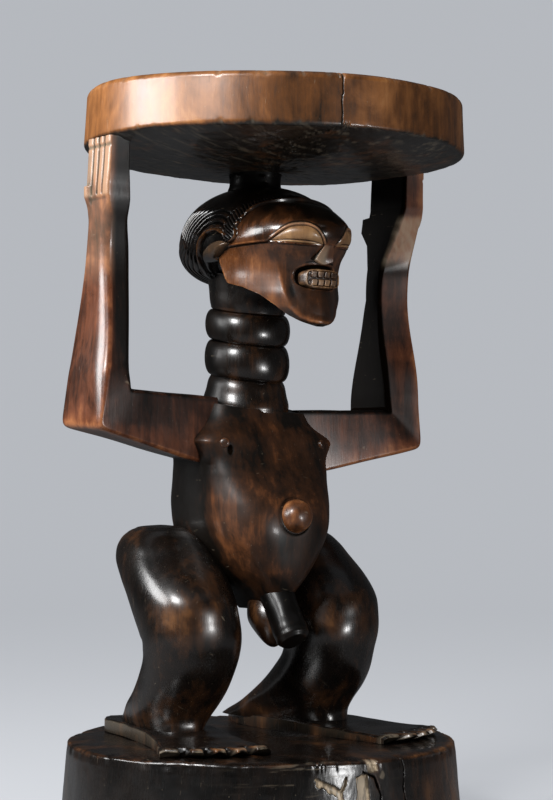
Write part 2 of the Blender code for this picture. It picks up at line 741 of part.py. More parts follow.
def build_head(seat_tool):
    coiffure = add_piece("coiffure", coiffure_shape(), DARK_WOOD)
    face = add_piece("face", face_shape(), RED_WOOD)
    for name, side in (("left", 1), ("right", -1)):
        add_piece("eye_" + name, eye_shape(side), PALE_WOOD)
        add_piece("ear_" + name, ear_shape(side), DARK_WOOD)
        cut(face, add_piece("eye_tool_" + name, eye_shape(side, GAP), PALE_WOOD))
        ear_tool = add_piece("ear_tool_" + name, ear_shape(side, GAP), DARK_WOOD)
        cut(coiffure, ear_tool)
    mouth_tool = add_piece("teeth_tool", mouth_shape(GAP), PALE_WOOD)
    add_piece("teeth", mouth_shape(), PALE_WOOD)
    nose = add_piece("nose", nose_shape(), RED_WOOD)
    cut(nose, mouth_tool)
    cut(face, mouth_tool, add_piece("nose_tool", nose_shape(GAP), RED_WOOD))
    tools = (
        add_piece("coiffure_tool", coiffure_shape(GAP), DARK_WOOD),
        add_piece("face_tool", face_shape(GAP), RED_WOOD),
    )
    top, bottom = DOME_LEVEL + POST_SINK, HEAD_TOP_LEVEL - POST_SINK
    profile = [(0.0, top), (POST_RADIUS, top), (POST_RADIUS, bottom), (0.0, bottom)]
    shape = turned(profile, NECK_SIDES)
    bmesh.ops.translate(shape, vec=(0.0, POST_SETBACK, 0.0), verts=shape.verts)
    cut(add_piece("head_post", shape, DARK_WOOD), seat_tool, *tools)
    return tools


def slab_ring(inner_front, inner_back, outer_back, outer_front, side):
    """A rounded four-cornered section of an arm through its corners."""
    corners = [Vector(corner) for corner in (inner_front, inner_back, outer_back, outer_front)]
    ring = []
    for angle in round_angles(ARM_SIDES):
        across, along = outline_point(angle, 0.5, -0.5, 0.5, 0.0, ARM_SQUARENESS)
        front = corners[0].lerp(corners[3], across + 0.5)
        back = corners[1].lerp(corners[2], across + 0.5)
        point = front.lerp(back, along + 0.5)
        ring.append((side * point.x, point.y, point.z))
    return ring


def level_slab(outer, width, front, back_inner, back_outer, level, side):
    """A level section of the upright arm or hand."""
    inner = outer - width
    return slab_ring(
        (inner, front, level),
        (inner, back_inner, level),
        (outer, back_outer, level),
        (outer, front, level),
        side,
    )


def elbow_level(side):
    """Height of the inner corner of the elbow, which differs a little from side to side."""
    return SHOULDER_LEVEL + (ELBOW_RISE_LEFT if side > 0 else ELBOW_RISE_RIGHT)


def elbow_ring(shift, side):
    """The mitred section at the elbow, moved up and outward by a shift along its normal."""
    outer = HAND_OUT + ELBOW_OUT
    inner = outer - ELBOW_WIDTH
    top = elbow_level(side)
    normal = Vector((ELBOW_DEPTH, 0.0, ELBOW_WIDTH)).normalized() * shift
    inner_edge = Vector((inner, 0.0, top)) + normal
    outer_edge = Vector((outer, 0.0, top - ELBOW_DEPTH)) + normal
    front, back = Vector((0.0, ELBOW_FRONT, 0.0)), Vector((0.0, ELBOW_BACK, 0.0))
    return slab_ring(inner_edge + front, inner_edge + back, outer_edge + back, outer_edge + front, side)


def build_arm(name, side, torso_tool, seat_tool):
    level = SHOULDER_LEVEL - side * SHOULDER_TILT * SHOULDER_SPREAD
    top, bottom = level - SHOULDER_TOP_DROP, level - SHOULDER_DROP
    shoulder = slab_ring(
        (SHOULDER_INNER, SHOULDER_FRONT, top),
        (SHOULDER_INNER, SHOULDER_BACK, top),
        (SHOULDER_INNER, SHOULDER_BACK, bottom),
        (SHOULDER_INNER, SHOULDER_FRONT, bottom),
        side,
    )
    upper_arm = skin([shoulder, elbow_ring(-GAP / 2, side)])
    cut(add_piece("upper_arm_" + name, upper_arm, DARK_WOOD), torso_tool)

    wrist = SEAT_RIM_LEVEL - HAND_LENGTH
    lower = mix(elbow_level(side), wrist, FOREARM_LOWER_SHARE)
    waist = mix(elbow_level(side), wrist, FOREARM_WAIST_SHARE)
    wrist_out = HAND_OUT - HAND_PROUD

    def wrist_ring(level):
        return level_slab(wrist_out, WRIST_WIDTH, WRIST_FRONT, WRIST_BACK, WRIST_BACK, level, side)

    width = mix(ELBOW_WIDTH, FOREARM_WAIST_WIDTH, FOREARM_LOWER_TAPER)
    front = mix(ELBOW_FRONT, FOREARM_WAIST_SETBACK, FOREARM_LOWER_SETBACK_SHARE)
    lower_ring = level_slab(HAND_OUT, width, front, ELBOW_BACK, ELBOW_BACK, lower, side)
    waist_ring = level_slab(
        HAND_OUT - ELBOW_OUT,
        FOREARM_WAIST_WIDTH,
        FOREARM_WAIST_SETBACK,
        FOREARM_WAIST_BACK,
        FOREARM_WAIST_BACK,
        waist,
        side,
    )
    forearm = skin([elbow_ring(GAP / 2, side), lower_ring, waist_ring, wrist_ring(wrist - GAP / 2)])
    add_piece("forearm_" + name, forearm, RED_WOOD)

    thumb_top = SEAT_RIM_LEVEL - THUMB_DROP
    thumb_low = mix(wrist, thumb_top, THUMB_LOW_SHARE)
    thumb_back = HAND_BACK_INSIDE + THUMB_REACH
    thumb_width = mix(WRIST_WIDTH, HAND_THICKNESS, THUMB_BLEND)
    thumb_front = mix(WRIST_FRONT, HAND_FRONT, THUMB_BLEND)
    palm = (HAND_OUT, HAND_THICKNESS, HAND_FRONT, HAND_BACK_INSIDE, HAND_BACK_OUTSIDE)
    thumb = (HAND_OUT, thumb_width, thumb_front, thumb_back, WRIST_BACK)
    hand = skin(
        [
            wrist_ring(wrist + GAP / 2),
            level_slab(*thumb, thumb_low, side),
            level_slab(*thumb, thumb_top, side),
            level_slab(*palm, thumb_top + THUMB_REACH / 4, side),
            level_slab(*palm, SEAT_RIM_LEVEL - GAP, side),
        ]
    )
    cut(add_piece("hand_" + name, hand, RED_WOOD), seat_tool)


def main():
    clear_scene()
    build_base()
    add_piece("seat", seat_shape(), SEAT_WOOD)
    add_piece("torso", trunk_shape(), RED_WOOD)
    seat_tool = add_piece("seat_tool", seat_shape(GAP), SEAT_WOOD)
    torso_tool = add_piece("torso_tool", trunk_shape(GAP), RED_WOOD)
    build_chest_details(torso_tool)
    build_groin(torso_tool)
    head_tools = build_head(seat_tool)
    build_neck(torso_tool, head_tools)
    for name, side in (("left", 1), ("right", -1)):
        build_foot("foot_" + name, side)
        build_shin("shin_" + name, side)
        build_thigh("thigh_" + name, side, torso_tool)
        build_arm(name, side, torso_tool, seat_tool)


main()
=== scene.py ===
"""The dressed caryatid stool: carved and polished wood on a plain pale floor.

The figure faces -Y, its left side is +X and +Z is up. Shapes are made upright in metres and then leaned.
"""

import math

import bpy
import numpy as np
from mathutils import Matrix, Vector
from mathutils.bvhtree import BVHTree


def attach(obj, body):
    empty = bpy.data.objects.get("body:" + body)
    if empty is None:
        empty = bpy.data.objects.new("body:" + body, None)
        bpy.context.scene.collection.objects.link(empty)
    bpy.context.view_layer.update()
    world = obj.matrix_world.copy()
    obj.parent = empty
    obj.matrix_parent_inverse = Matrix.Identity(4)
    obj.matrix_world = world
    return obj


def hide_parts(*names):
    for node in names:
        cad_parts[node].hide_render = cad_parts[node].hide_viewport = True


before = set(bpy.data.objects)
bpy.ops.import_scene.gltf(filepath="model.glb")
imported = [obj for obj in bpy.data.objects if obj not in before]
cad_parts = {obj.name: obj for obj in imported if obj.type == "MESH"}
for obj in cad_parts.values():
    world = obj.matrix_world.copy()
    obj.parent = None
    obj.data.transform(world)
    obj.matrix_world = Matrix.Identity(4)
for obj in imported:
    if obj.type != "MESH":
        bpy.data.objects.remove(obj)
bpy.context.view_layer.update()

MM = 0.001
FULL_TURN = 2 * math.pi
# Direction of the figure's front, and how far the side that the photograph shows is turned from it
FRONT = -math.pi / 2
SHOWN_TURN = math.radians(34)

# Main levels and places, the same as in the solids
LEAN_LEFT, LEAN_FORWARD = 0.0178, 0.0120
BASE_HEIGHT, BASE_TOP_RADIUS, BASE_FOOT_RADIUS = 0.062, 0.143, 0.147
SEAT_RADIUS, SEAT_RIM, SEAT_TOP, SEAT_DOME = 0.141, 0.4945, 0.5345, 0.013
SHOULDER = 0.311
NECK_SETBACK, NECK_RADIUS, NECK_WAIST = 0.030, 0.032, 0.0275
NECK_SLOPE = math.tan(math.radians(9))

SHARP_EDGE = math.radians(55)
RIPPLE_WAVES = 7
CLOUD_LATTICE = 64
# Discs end at a small hub, and the patches of their unevenness are counted round them
HUB_RADIUS = 0.004
PATCHES_ROUND = 64


# Shape tools

def smooth(low, high, value):
    """Eases from 0 at low to 1 at high."""
    share = np.clip((value - low) / (high - low), 0.0, 1.0)
    return share * share * (3.0 - 2.0 * share)


def window(value, start, full, fade, end):
    """Eases from 0 at start to 1 at full, and from 1 at fade back to 0 at end."""
    return smooth(start, full, value) * smooth(end, fade, value)


def bump(value, centre, width):
    """A soft bump of height 1."""
    return np.exp(-(((value - centre) / width) ** 2))


def curve(places, values, at):
    """A smooth curve through values at rising places."""
    x, y = np.asarray(places, float), np.asarray(values, float)
    at = np.clip(np.asarray(at, float), x[0], x[-1])
    slope = np.gradient(y, x)
    i = np.clip(np.searchsorted(x, at, side="right") - 1, 0, len(x) - 2)
    span = x[i + 1] - x[i]
    t = (at - x[i]) / span
    rise = y[i + 1] - y[i]
    start, end = slope[i] * span - rise, -slope[i + 1] * span + rise
    return (1 - t) * y[i] + t * y[i + 1] + t * (1 - t) * ((1 - t) * start + t * end)


def columns(table, at):
    """Smooth values of each further column of a table whose first column rises."""
    table = np.asarray(table, float)
    return [curve(table[:, 0], table[:, k], at) for k in range(1, table.shape[1])]


def line(points, at):
    """Smooth second values of pairs whose first values rise."""
    return columns(points, at)[0]


def ripple(points, size, seed):
    """Smooth, repeatable unevenness from about -1 to 1, with swellings about size across."""
    rng = np.random.default_rng(seed)
    total = np.zeros(points.shape[:-1])
    for _ in range(RIPPLE_WAVES):
        way = rng.normal(size=3)
        way *= rng.uniform(0.6, 1.5) * math.pi / (size * np.linalg.norm(way))
        total += np.sin(points @ way + rng.uniform(0.0, FULL_TURN))
    return total / (RIPPLE_WAVES / 2)


def cloud(u, v, seed, octaves=4):
    """Fractal unevenness from 0 to 1 over two coordinates, in units of its largest patch."""
    u, v = np.broadcast_arrays(u, v)
    total, weight, sum_of_weights = 0.0, 1.0, 0.0
    for octave in range(octaves):
        lattice = np.random.default_rng(seed + octave).random((CLOUD_LATTICE, CLOUD_LATTICE))
        x, y = u * 2**octave + 11.3, v * 2**octave + 7.7
        i, j = np.floor(x).astype(int), np.floor(y).astype(int)
        fx, fy = smooth(0, 1, x - i), smooth(0, 1, y - j)
        i, j, right, top = (place % CLOUD_LATTICE for place in (i, j, i + 1, j + 1))
        lower = lattice[i, j] * (1 - fx) + lattice[right, j] * fx
        upper = lattice[i, top] * (1 - fx) + lattice[right, top] * fx
        total = total + weight * (lower * (1 - fy) + upper * fy)
        sum_of_weights += weight
        weight *= 0.5
    return total / sum_of_weights


def outline(angle, half_width, low, high, middle, squareness):
    """Across and along places on a rounded outline that is widest at middle and runs from low to high."""
    side, rise = np.cos(angle), np.sin(angle)
    across = half_width * np.sign(side) * np.abs(side) ** (2 / squareness)
    reach = np.where(rise > 0, high - middle, middle - low)
    return across, middle + reach * np.sign(rise) * np.abs(rise) ** (2 / squareness)


def turns(count):
    return np.arange(count) * (FULL_TURN / count)


def leaned(points):
    """Where points of the upright figure go when it leans, so that the seat ends square to the lean."""
    height = points[..., 2] - BASE_HEIGHT
    sink = height / (SEAT_TOP - BASE_HEIGHT) * (LEAN_LEFT * points[..., 0] - LEAN_FORWARD * points[..., 1])
    return points + np.stack([LEAN_LEFT * height, -LEAN_FORWARD * height, -sink], axis=-1)


def normals(grid, closed):
    """Outward normals of a grid of points."""
    down = np.gradient(grid, axis=0)
    if closed:
        across = np.roll(grid, -1, axis=1) - np.roll(grid, 1, axis=1)
    else:
        across = np.gradient(grid, axis=1)
    normal = np.cross(across, down)
    normal /= np.maximum(np.linalg.norm(normal, axis=-1, keepdims=True), 1e-12)
    outward = ((grid - grid.mean(axis=(0, 1))) * normal).sum()
    return normal if outward > 0 else -normal


def relief(grid, closed, reach=3):
    """How sharply each point stands out (above 0) or lies in a groove (below 0)."""
    rows = np.clip(np.arange(grid.shape[0])[:, None] + [-reach, reach], 0, grid.shape[0] - 1)
    if closed:
        sides = np.roll(grid, reach, axis=1), np.roll(grid, -reach, axis=1)
    else:
        cols = np.clip(np.arange(grid.shape[1])[:, None] + [-reach, reach], 0, grid.shape[1] - 1)
        sides = grid[:, cols[:, 0]], grid[:, cols[:, 1]]
    ends = grid[rows[:, 0]], grid[rows[:, 1]]
    normal = normals(grid, closed)
    total = 0.0
    for first, last in (sides, ends):
        height = ((grid - (first + last) / 2) * normal).sum(-1)
        total = total + height / (np.linalg.norm(first - last, axis=-1) + 1e-5)
    return total


def raised(grid, amount):
    """Closed rings of points moved out along their normals."""
    return grid + normals(grid, True) * np.asarray(amount)[..., None]


def rippled(grid, height, size, seed):
    """Closed rings of points with a slight unevenness."""
    return raised(grid, height * ripple(grid, size, seed))


# Pieces

def make_mesh(name, points, faces, marks):
    """A mesh with its faces turned outwards and an attribute for each mark of its material."""
    mesh = bpy.data.meshes.new(name)
    mesh.from_pydata(points.tolist(), [], faces)
    for mark, values in marks.items():
        layer = mesh.attributes.new(mark, "FLOAT", "POINT")
        layer.data.foreach_set("value", np.asarray(values, np.float32).ravel())
    mesh.update()
    centres, areas, ways = (np.zeros(len(mesh.polygons) * k) for k in (3, 1, 3))
    mesh.polygons.foreach_get("center", centres)
    mesh.polygons.foreach_get("area", areas)
    mesh.polygons.foreach_get("normal", ways)
    volume = (centres.reshape(-1, 3) * ways.reshape(-1, 3)).sum(1) @ areas
    if volume < 0:
        mesh.flip_normals()
    mesh.shade_smooth()
    mesh.set_sharp_from_angle(angle=SHARP_EDGE)
    return mesh


def add(name, points, faces, finish, nodes, marks):
    """Puts a carved piece in the scene, which stands for CAD nodes, its namesake where none are named."""
    mesh = make_mesh(name, points, faces, marks)
    piece = bpy.data.objects.new(name, mesh)
    bpy.context.scene.collection.objects.link(piece)
    material, slot = finish
    mesh.materials.append(material)
    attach(piece, "root")
    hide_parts(*(nodes or [name]))


def numbered(rows, cols):
    return np.arange(rows * cols).reshape(rows, cols)


def ring_faces(index):
    """Faces between closed rings of numbered points."""
    beside = np.roll(index, -1, axis=1)
    return np.stack([index[:-1], beside[:-1], beside[1:], index[1:]], axis=-1).reshape(-1, 4).tolist()


def loft(name, grid, finish, nodes=(), leans=True, wear=1.0, wear_more=0.0, soot_and_shade_more=0.0, **marks):
    """A closed body through rings of points."""
    rows, cols = grid.shape[:2]
    index = numbered(rows, cols)
    faces = ring_faces(index) + [index[0][::-1].tolist(), index[-1].tolist()]
    shape = relief(grid, True)
    marks["wear"] = wear * smooth(0.015, 0.12, shape) + wear_more
    marks["soot_and_shade"] = smooth(0.015, 0.10, -shape) + soot_and_shade_more
    points = leaned(grid) if leans else grid
    filled = {mark: np.broadcast_to(value, (rows, cols)) for mark, value in marks.items()}
    add(name, points.reshape(-1, 3), faces, finish, nodes, filled)


def plate(name, grid, depth, finish, **marks):
    """A body with a carved front grid, a skirt that runs back by depth, and a plain back."""
    rows, cols = grid.shape[:2]
    index = numbered(rows, cols)
    quads = np.stack([index[:-1, :-1], index[:-1, 1:], index[1:, 1:], index[1:, :-1]], axis=-1)
    rim = np.concatenate([index[0, :-1], index[:-1, -1], index[-1, :0:-1], index[:0:-1, 0]])
    back = np.arange(len(rim)) + rows * cols
    skirt = np.stack([np.roll(rim, -1), rim, back, np.roll(back, -1)], axis=-1)
    faces = quads.reshape(-1, 4).tolist() + skirt.tolist() + [back[::-1].tolist()]
    points = grid.reshape(-1, 3)
    points = np.concatenate([points, points[rim] + np.array(depth)])
    shape = relief(grid, False, 2)
    marks["wear"] = smooth(0.03, 0.2, shape)
    marks["soot_and_shade"] = smooth(0.02, 0.15, -shape)
    filled = {}
    for mark, value in marks.items():
        flat = np.broadcast_to(value, (rows, cols)).ravel()
        filled[mark] = np.concatenate([flat, flat[rim]])
    add(name, leaned(points), faces, finish, (), filled)


# Wood

# Pale wood colour, laid on real chips and wear and also as painted highlights
BARE_AND_HIGHLIGHT = (0.50, 0.40, 0.28)
SCUFFED = [0.7 * channel for channel in BARE_AND_HIGHLIGHT]


def wood(name, slot, roughness, stops, grain=0.8):
    """Polished carved wood with upright grain, worn ridges, sooty grooves, pale chips and fine scratches,
    whose soot and pale-wood marks also carry painted shade and painted highlights.

    It comes with the name of a material slot, which is not used.
    """
    material = bpy.data.materials.new(name)
    material.use_nodes = True
    tree = material.node_tree
    shader = tree.nodes["Principled BSDF"]

    def node(kind, **inputs):
        made = tree.nodes.new("ShaderNode" + kind)
        for key, value in inputs.items():
            socket = made.inputs[int(key[1:])] if key[0] == "i" and key[1:].isdigit() else made.inputs[key]
            if isinstance(value, bpy.types.NodeSocket):
                tree.links.new(value, socket)
            else:
                socket.default_value = value
        return made

    def sum_of(operation):
        def made_of(first, second):
            made = node("Math", i0=first, i1=second)
            made.operation = operation
            return made.outputs[0]

        return made_of

    plus, minus, times, larger = (sum_of(kind) for kind in ("ADD", "SUBTRACT", "MULTIPLY", "MAXIMUM"))

    def mark(attribute):
        made = node("Attribute")
        made.attribute_name = attribute
        return made.outputs["Fac"]

    def stepped(value, low, high, start, end):
        ends = {"From Min": low, "From Max": high, "To Min": start, "To Max": end}
        return node("MapRange", Value=value, **ends).outputs["Result"]

    where = node("TexCoord").outputs["Object"]

    def noise(stretch, detail, turn=(0.0, 0.0, 0.0), twist=0.0):
        placed = node("Mapping", Vector=where, Scale=stretch, Rotation=turn).outputs[0]
        made = node("TexNoise", Vector=placed, Scale=1.0, Detail=detail, Roughness=0.62, Distortion=twist)
        return made.outputs["Fac"]

    def mixed(amount, first, second):
        made = node("Mix", Factor=amount)
        made.data_type = "RGBA"
        tree.links.new(first, made.inputs[6])
        made.inputs[7].default_value = (*second, 1.0)
        return made.outputs[2]

    patches = noise((24, 24, 15), 6.0, twist=0.7)
    blots = noise((70, 70, 42), 4.0, (0.3, 0.1, 0.2), 0.5)
    streaks = noise((170, 170, 10), 6.0, twist=0.4)
    pores = noise((1300, 1300, 90), 3.0)
    scratches = noise((50, 1000, 50), 2.0, (0.4, 0.7, 0.3))
    hairlines = noise((950, 60, 420), 2.0, (0.9, 0.2, 1.1))
    scratch = larger(stepped(scratches, 0.72, 0.77, 0.0, 1.0), stepped(hairlines, 0.72, 0.76, 0.0, 1.0))

    # Colour
    worn = times(mark("wear"), stepped(blots, 0.35, 0.62, 0.15, 1.0))
    tone = plus(times(patches, 1.5), times(streaks, grain))
    tone = plus(tone, times(blots, 0.5))
    tone = plus(minus(tone, 0.58 + 0.5 * grain), mark("tone"))
    tone = plus(tone, times(worn, 0.34))
    # The soot mark darkens and dulls real soot in the grooves, and also the painted shade that the pieces
    # lay on
    tone = minus(tone, times(mark("soot_and_shade"), 0.5))
    tone = minus(tone, stepped(pores, 0.56, 0.75, 0.0, 0.12))
    ramp = node("ValToRGB", Fac=tone)
    band = ramp.color_ramp
    band.elements[0].color = (*stops[0], 1.0)
    band.elements[1].color = (*stops[3], 1.0)
    for place, colour in zip((0.36, 0.68), stops[1:3]):
        band.elements.new(place).color = (*colour, 1.0)
    scuffed = mixed(times(scratch, 0.30), ramp.outputs["Color"], SCUFFED)
    # The pale-wood mark lays on real bare wood and also painted highlights
    tree.links.new(mixed(mark("bare"), scuffed, BARE_AND_HIGHLIGHT), shader.inputs["Base Color"])

    # Gloss
    rough = stepped(patches, 0.3, 0.7, roughness - 0.05, roughness + 0.08)
    rough = minus(rough, times(mark("shine"), 0.12))
    rough = plus(rough, times(mark("soot_and_shade"), 0.18))
    rough = plus(rough, times(mark("bare"), 0.30))
    rough = plus(rough, times(stepped(pores, 0.5, 0.75, 0.0, 1.0), 0.10))
    tree.links.new(rough, shader.inputs["Roughness"])
    shader.inputs["IOR"].default_value = 1.5
    for socket, amount in (("Specular IOR Level", 0.5), ("Coat Weight", 0.2)):
        dulled = minus(amount, times(mark("soot_and_shade"), 0.9 * amount))
        tree.links.new(larger(dulled, 0.0), shader.inputs[socket])
    shader.inputs["Coat Roughness"].default_value = 0.14

    # Fine relief
    height = plus(times(streaks, 0.7), times(pores, 0.45))
    height = plus(height, times(blots, 0.8))
    height = minus(height, times(scratch, 0.35))
    carved = node("Bump", Strength=0.16, Distance=0.0006, Height=height)
    tree.links.new(carved.outputs[0], shader.inputs["Normal"])
    return material, slot


DARK = wood(
    "polished_dark_wood",
    "dark_wood",
    0.24,
    ((0.0020, 0.0016, 0.0013), (0.0062, 0.0036, 0.0023), (0.036, 0.0148, 0.0058), (0.130, 0.055, 0.019)),
)
RED = wood(
    "polished_red_wood",
    "red_wood",
    0.33,
    ((0.0038, 0.0023, 0.0015), (0.033, 0.0110, 0.0052), (0.124, 0.0392, 0.0168), (0.300, 0.114, 0.045)),
)
BROWN = wood(
    "polished_brown_wood",
    "red_wood",
    0.33,
    ((0.0036, 0.0022, 0.0012), (0.031, 0.0112, 0.0039), (0.118, 0.0405, 0.0128), (0.290, 0.115, 0.039)),
)
SEATED = wood(
    "worn_seat_wood",
    "seat_wood",
    0.34,
    ((0.010, 0.0072, 0.0048), (0.116, 0.0425, 0.0118), (0.258, 0.099, 0.027), (0.44, 0.205, 0.072)),
    0.45,
)
PALE = wood(
    "ochre_wood",
    "pale_wood",
    0.34,
    ((0.030, 0.014, 0.007), (0.155, 0.078, 0.034), (0.300, 0.165, 0.070), (0.46, 0.290, 0.14)),
)


# Base and seat

def disc(profile, angle):
    """A turned grid from rows of radius and height, with a column at each angle."""
    radius, height = np.asarray(profile).T
    ring = np.stack([np.cos(angle), np.sin(angle)], axis=-1)
    grid = np.zeros((len(radius), len(angle), 3))
    grid[..., :2] = radius[:, None, None] * ring
    grid[..., 2] = height[:, None]
    return grid


def quarter(centre_radius, centre_height, edge, start, end, steps):
    angles = np.linspace(math.radians(start), math.radians(end), steps)
    return [(centre_radius + edge * math.cos(a), centre_height + edge * math.sin(a)) for a in angles]


def spread(start, end, steps):
    return [tuple(point) for point in np.linspace(start, end, steps)]


def turned_from(angle):
    """Angles measured from nought, from half a turn back to half a turn on."""
    return np.angle(np.exp(1j * angle))


def apart_from(points, u, v):
    """Distance of places from a bent line."""
    nearest = np.full(np.shape(u), 1e9)
    for (u0, v0), (u1, v1) in zip(points[:-1], points[1:]):
        along = np.array([u1 - u0, v1 - v0])
        share = np.clip(((u - u0) * along[0] + (v - v0) * along[1]) / (along @ along), 0, 1)
        nearest = np.minimum(nearest, np.hypot(u - u0 - share * along[0], v - v0 - share * along[1]))
    return nearest


BASE_EDGE = 0.0030
CHIP_DEPTH, CRACK_DEPTH = 0.0022, 0.0010


def build_base():
    """The drum under the figure, with an uneven rim and a split and chipped front."""
    low, high = BASE_FOOT_RADIUS - BASE_EDGE, BASE_TOP_RADIUS - BASE_EDGE
    profile = spread((HUB_RADIUS, 0.0), (low - 0.002, 0.0), 6)
    profile += quarter(low, BASE_EDGE, BASE_EDGE, -90, 0, 5)
    profile += spread((BASE_FOOT_RADIUS, 0.005), (BASE_TOP_RADIUS, BASE_HEIGHT - BASE_EDGE - 0.0006), 92)
    profile += quarter(high, BASE_HEIGHT - BASE_EDGE, BASE_EDGE, 0, 90, 8)
    profile += spread((high - 0.0012, BASE_HEIGHT), (HUB_RADIUS, BASE_HEIGHT), 40)
    # Columns crowd round the chipped front
    near = np.linspace(-0.45, 0.20, 310, endpoint=False)
    far = np.linspace(0.20, FULL_TURN - 0.45, 320, endpoint=False)
    angle = np.concatenate([near, far]) + FRONT
    grid = disc(profile, angle)
    x, y, z = np.moveaxis(grid, -1, 0)
    radius = np.hypot(x, y)
    around = angle % FULL_TURN / FULL_TURN * PATCHES_ROUND
    front = turned_from(angle - FRONT) + 0 * z
    on_side = smooth(0.135, 0.141, radius) * smooth(0.001, 0.006, z)
    on_top = smooth(BASE_HEIGHT - 0.004, BASE_HEIGHT - 0.0005, z)

    # Uneven carving and a worn rim
    amount = 0.0010 * ripple(grid, 0.05, 3) * on_side + 0.0005 * ripple(grid, 0.035, 4) * on_top
    amount += 0.0005 * (cloud(around * 1.1, z * 50, 23) - 0.5) * on_side
    rim = bump(radius, BASE_TOP_RADIUS, 0.006) * smooth(BASE_HEIGHT - 0.009, BASE_HEIGHT - 0.001, z)
    nibble = smooth(0.52, 0.80, cloud(around * 2.6, 0 * around, 21))
    amount -= rim * (0.0004 + 0.0012 * nibble)

    # The split and chipped front, in millimetres round the side and down from the top
    u, v = front * BASE_TOP_RADIUS / MM, (BASE_HEIGHT - z) / MM
    jag = 3.4 * (cloud(u * 0.20 + 20, v * 0.20, 51) - 0.5)

    def crack(width, *points):
        return smooth(width, width / 2, apart_from(points, u, v) + 0.4 * jag)

    fork = apart_from(((-47.5, 11.5), (-38.6, 17.0), (-30.5, 22.3), (-28.6, 31.0)), u, v)
    fork = smooth(3.0, 2.2, fork + 1.2 * jag + 1.3 * smooth(17, 11, v))
    prong = apart_from(((-25.5, 11.5), (-27.5, 17.0), (-30.5, 22.3)), u, v)
    prong = smooth(1.3, 0.8, prong + 0.5 * jag)
    shaft = smooth(5.2, 4.5, np.abs(u + 12.7) + jag) * smooth(10.0, 10.8, v + 1.4 * jag)
    notch = smooth(4.9, 4.2, np.abs(u + 3.8) + jag) * smooth(8.6, 7.8, v + jag)
    broken = np.maximum.reduce([fork, prong, shaft, notch]) * on_side
    front_crack = crack(1.0, (-12.0, 8.0), (-3.0, 12.0), (2.0, 24.0), (0.5, 40.0))
    right_crack = crack(0.8, (23, 0), (25, 9), (23.5, 21), (26, 34))
    left_crack = 0.6 * crack(0.8, (-129, 24), (-127, 40), (-130, 62))
    cracks = np.maximum.reduce([front_crack, right_crack, left_crack]) * on_side
    amount -= CHIP_DEPTH * broken + CRACK_DEPTH * cracks

    # Bare wood in the chips, scuffs beside them, a browner right side and a faint painted sheen on the left
    # front
    splinter = cloud(u * 0.9, v * 0.16, 61, 3)
    bare = broken * (0.45 + 0.55 * smooth(0.34, 0.56, splinter))
    scuff = smooth(0.66, 0.74, cloud(u * 0.05 + v * 0.05, v * 0.5, 63))
    scuff = scuff * bump(u, -45, 40) * bump(v, 10, 12)
    bare = np.clip(bare + 0.18 * scuff * on_side, 0, 1)
    right = window(front, 0.10, 0.50, 1.1, 1.6)
    tone = -0.22 + 0.50 * right * on_side + 0.12 * on_top + 0.05 * bump(front, -1.25, 0.25) * on_side
    tone = tone + 0.20 * smooth(0.55, 0.72, cloud(x * 70, y * 70, 65)) * on_top
    shape = raised(grid, amount)
    loft("base", shape, DARK, leans=False, wear=0.7, bare=bare, tone=tone, soot_and_shade_more=0.6 * cracks)


SEAT_EDGE, SEAT_LOWER_EDGE = 0.0042, 0.0028
# Where the split lies, round from the side that the photograph shows
SEAT_SPLIT = 0.335


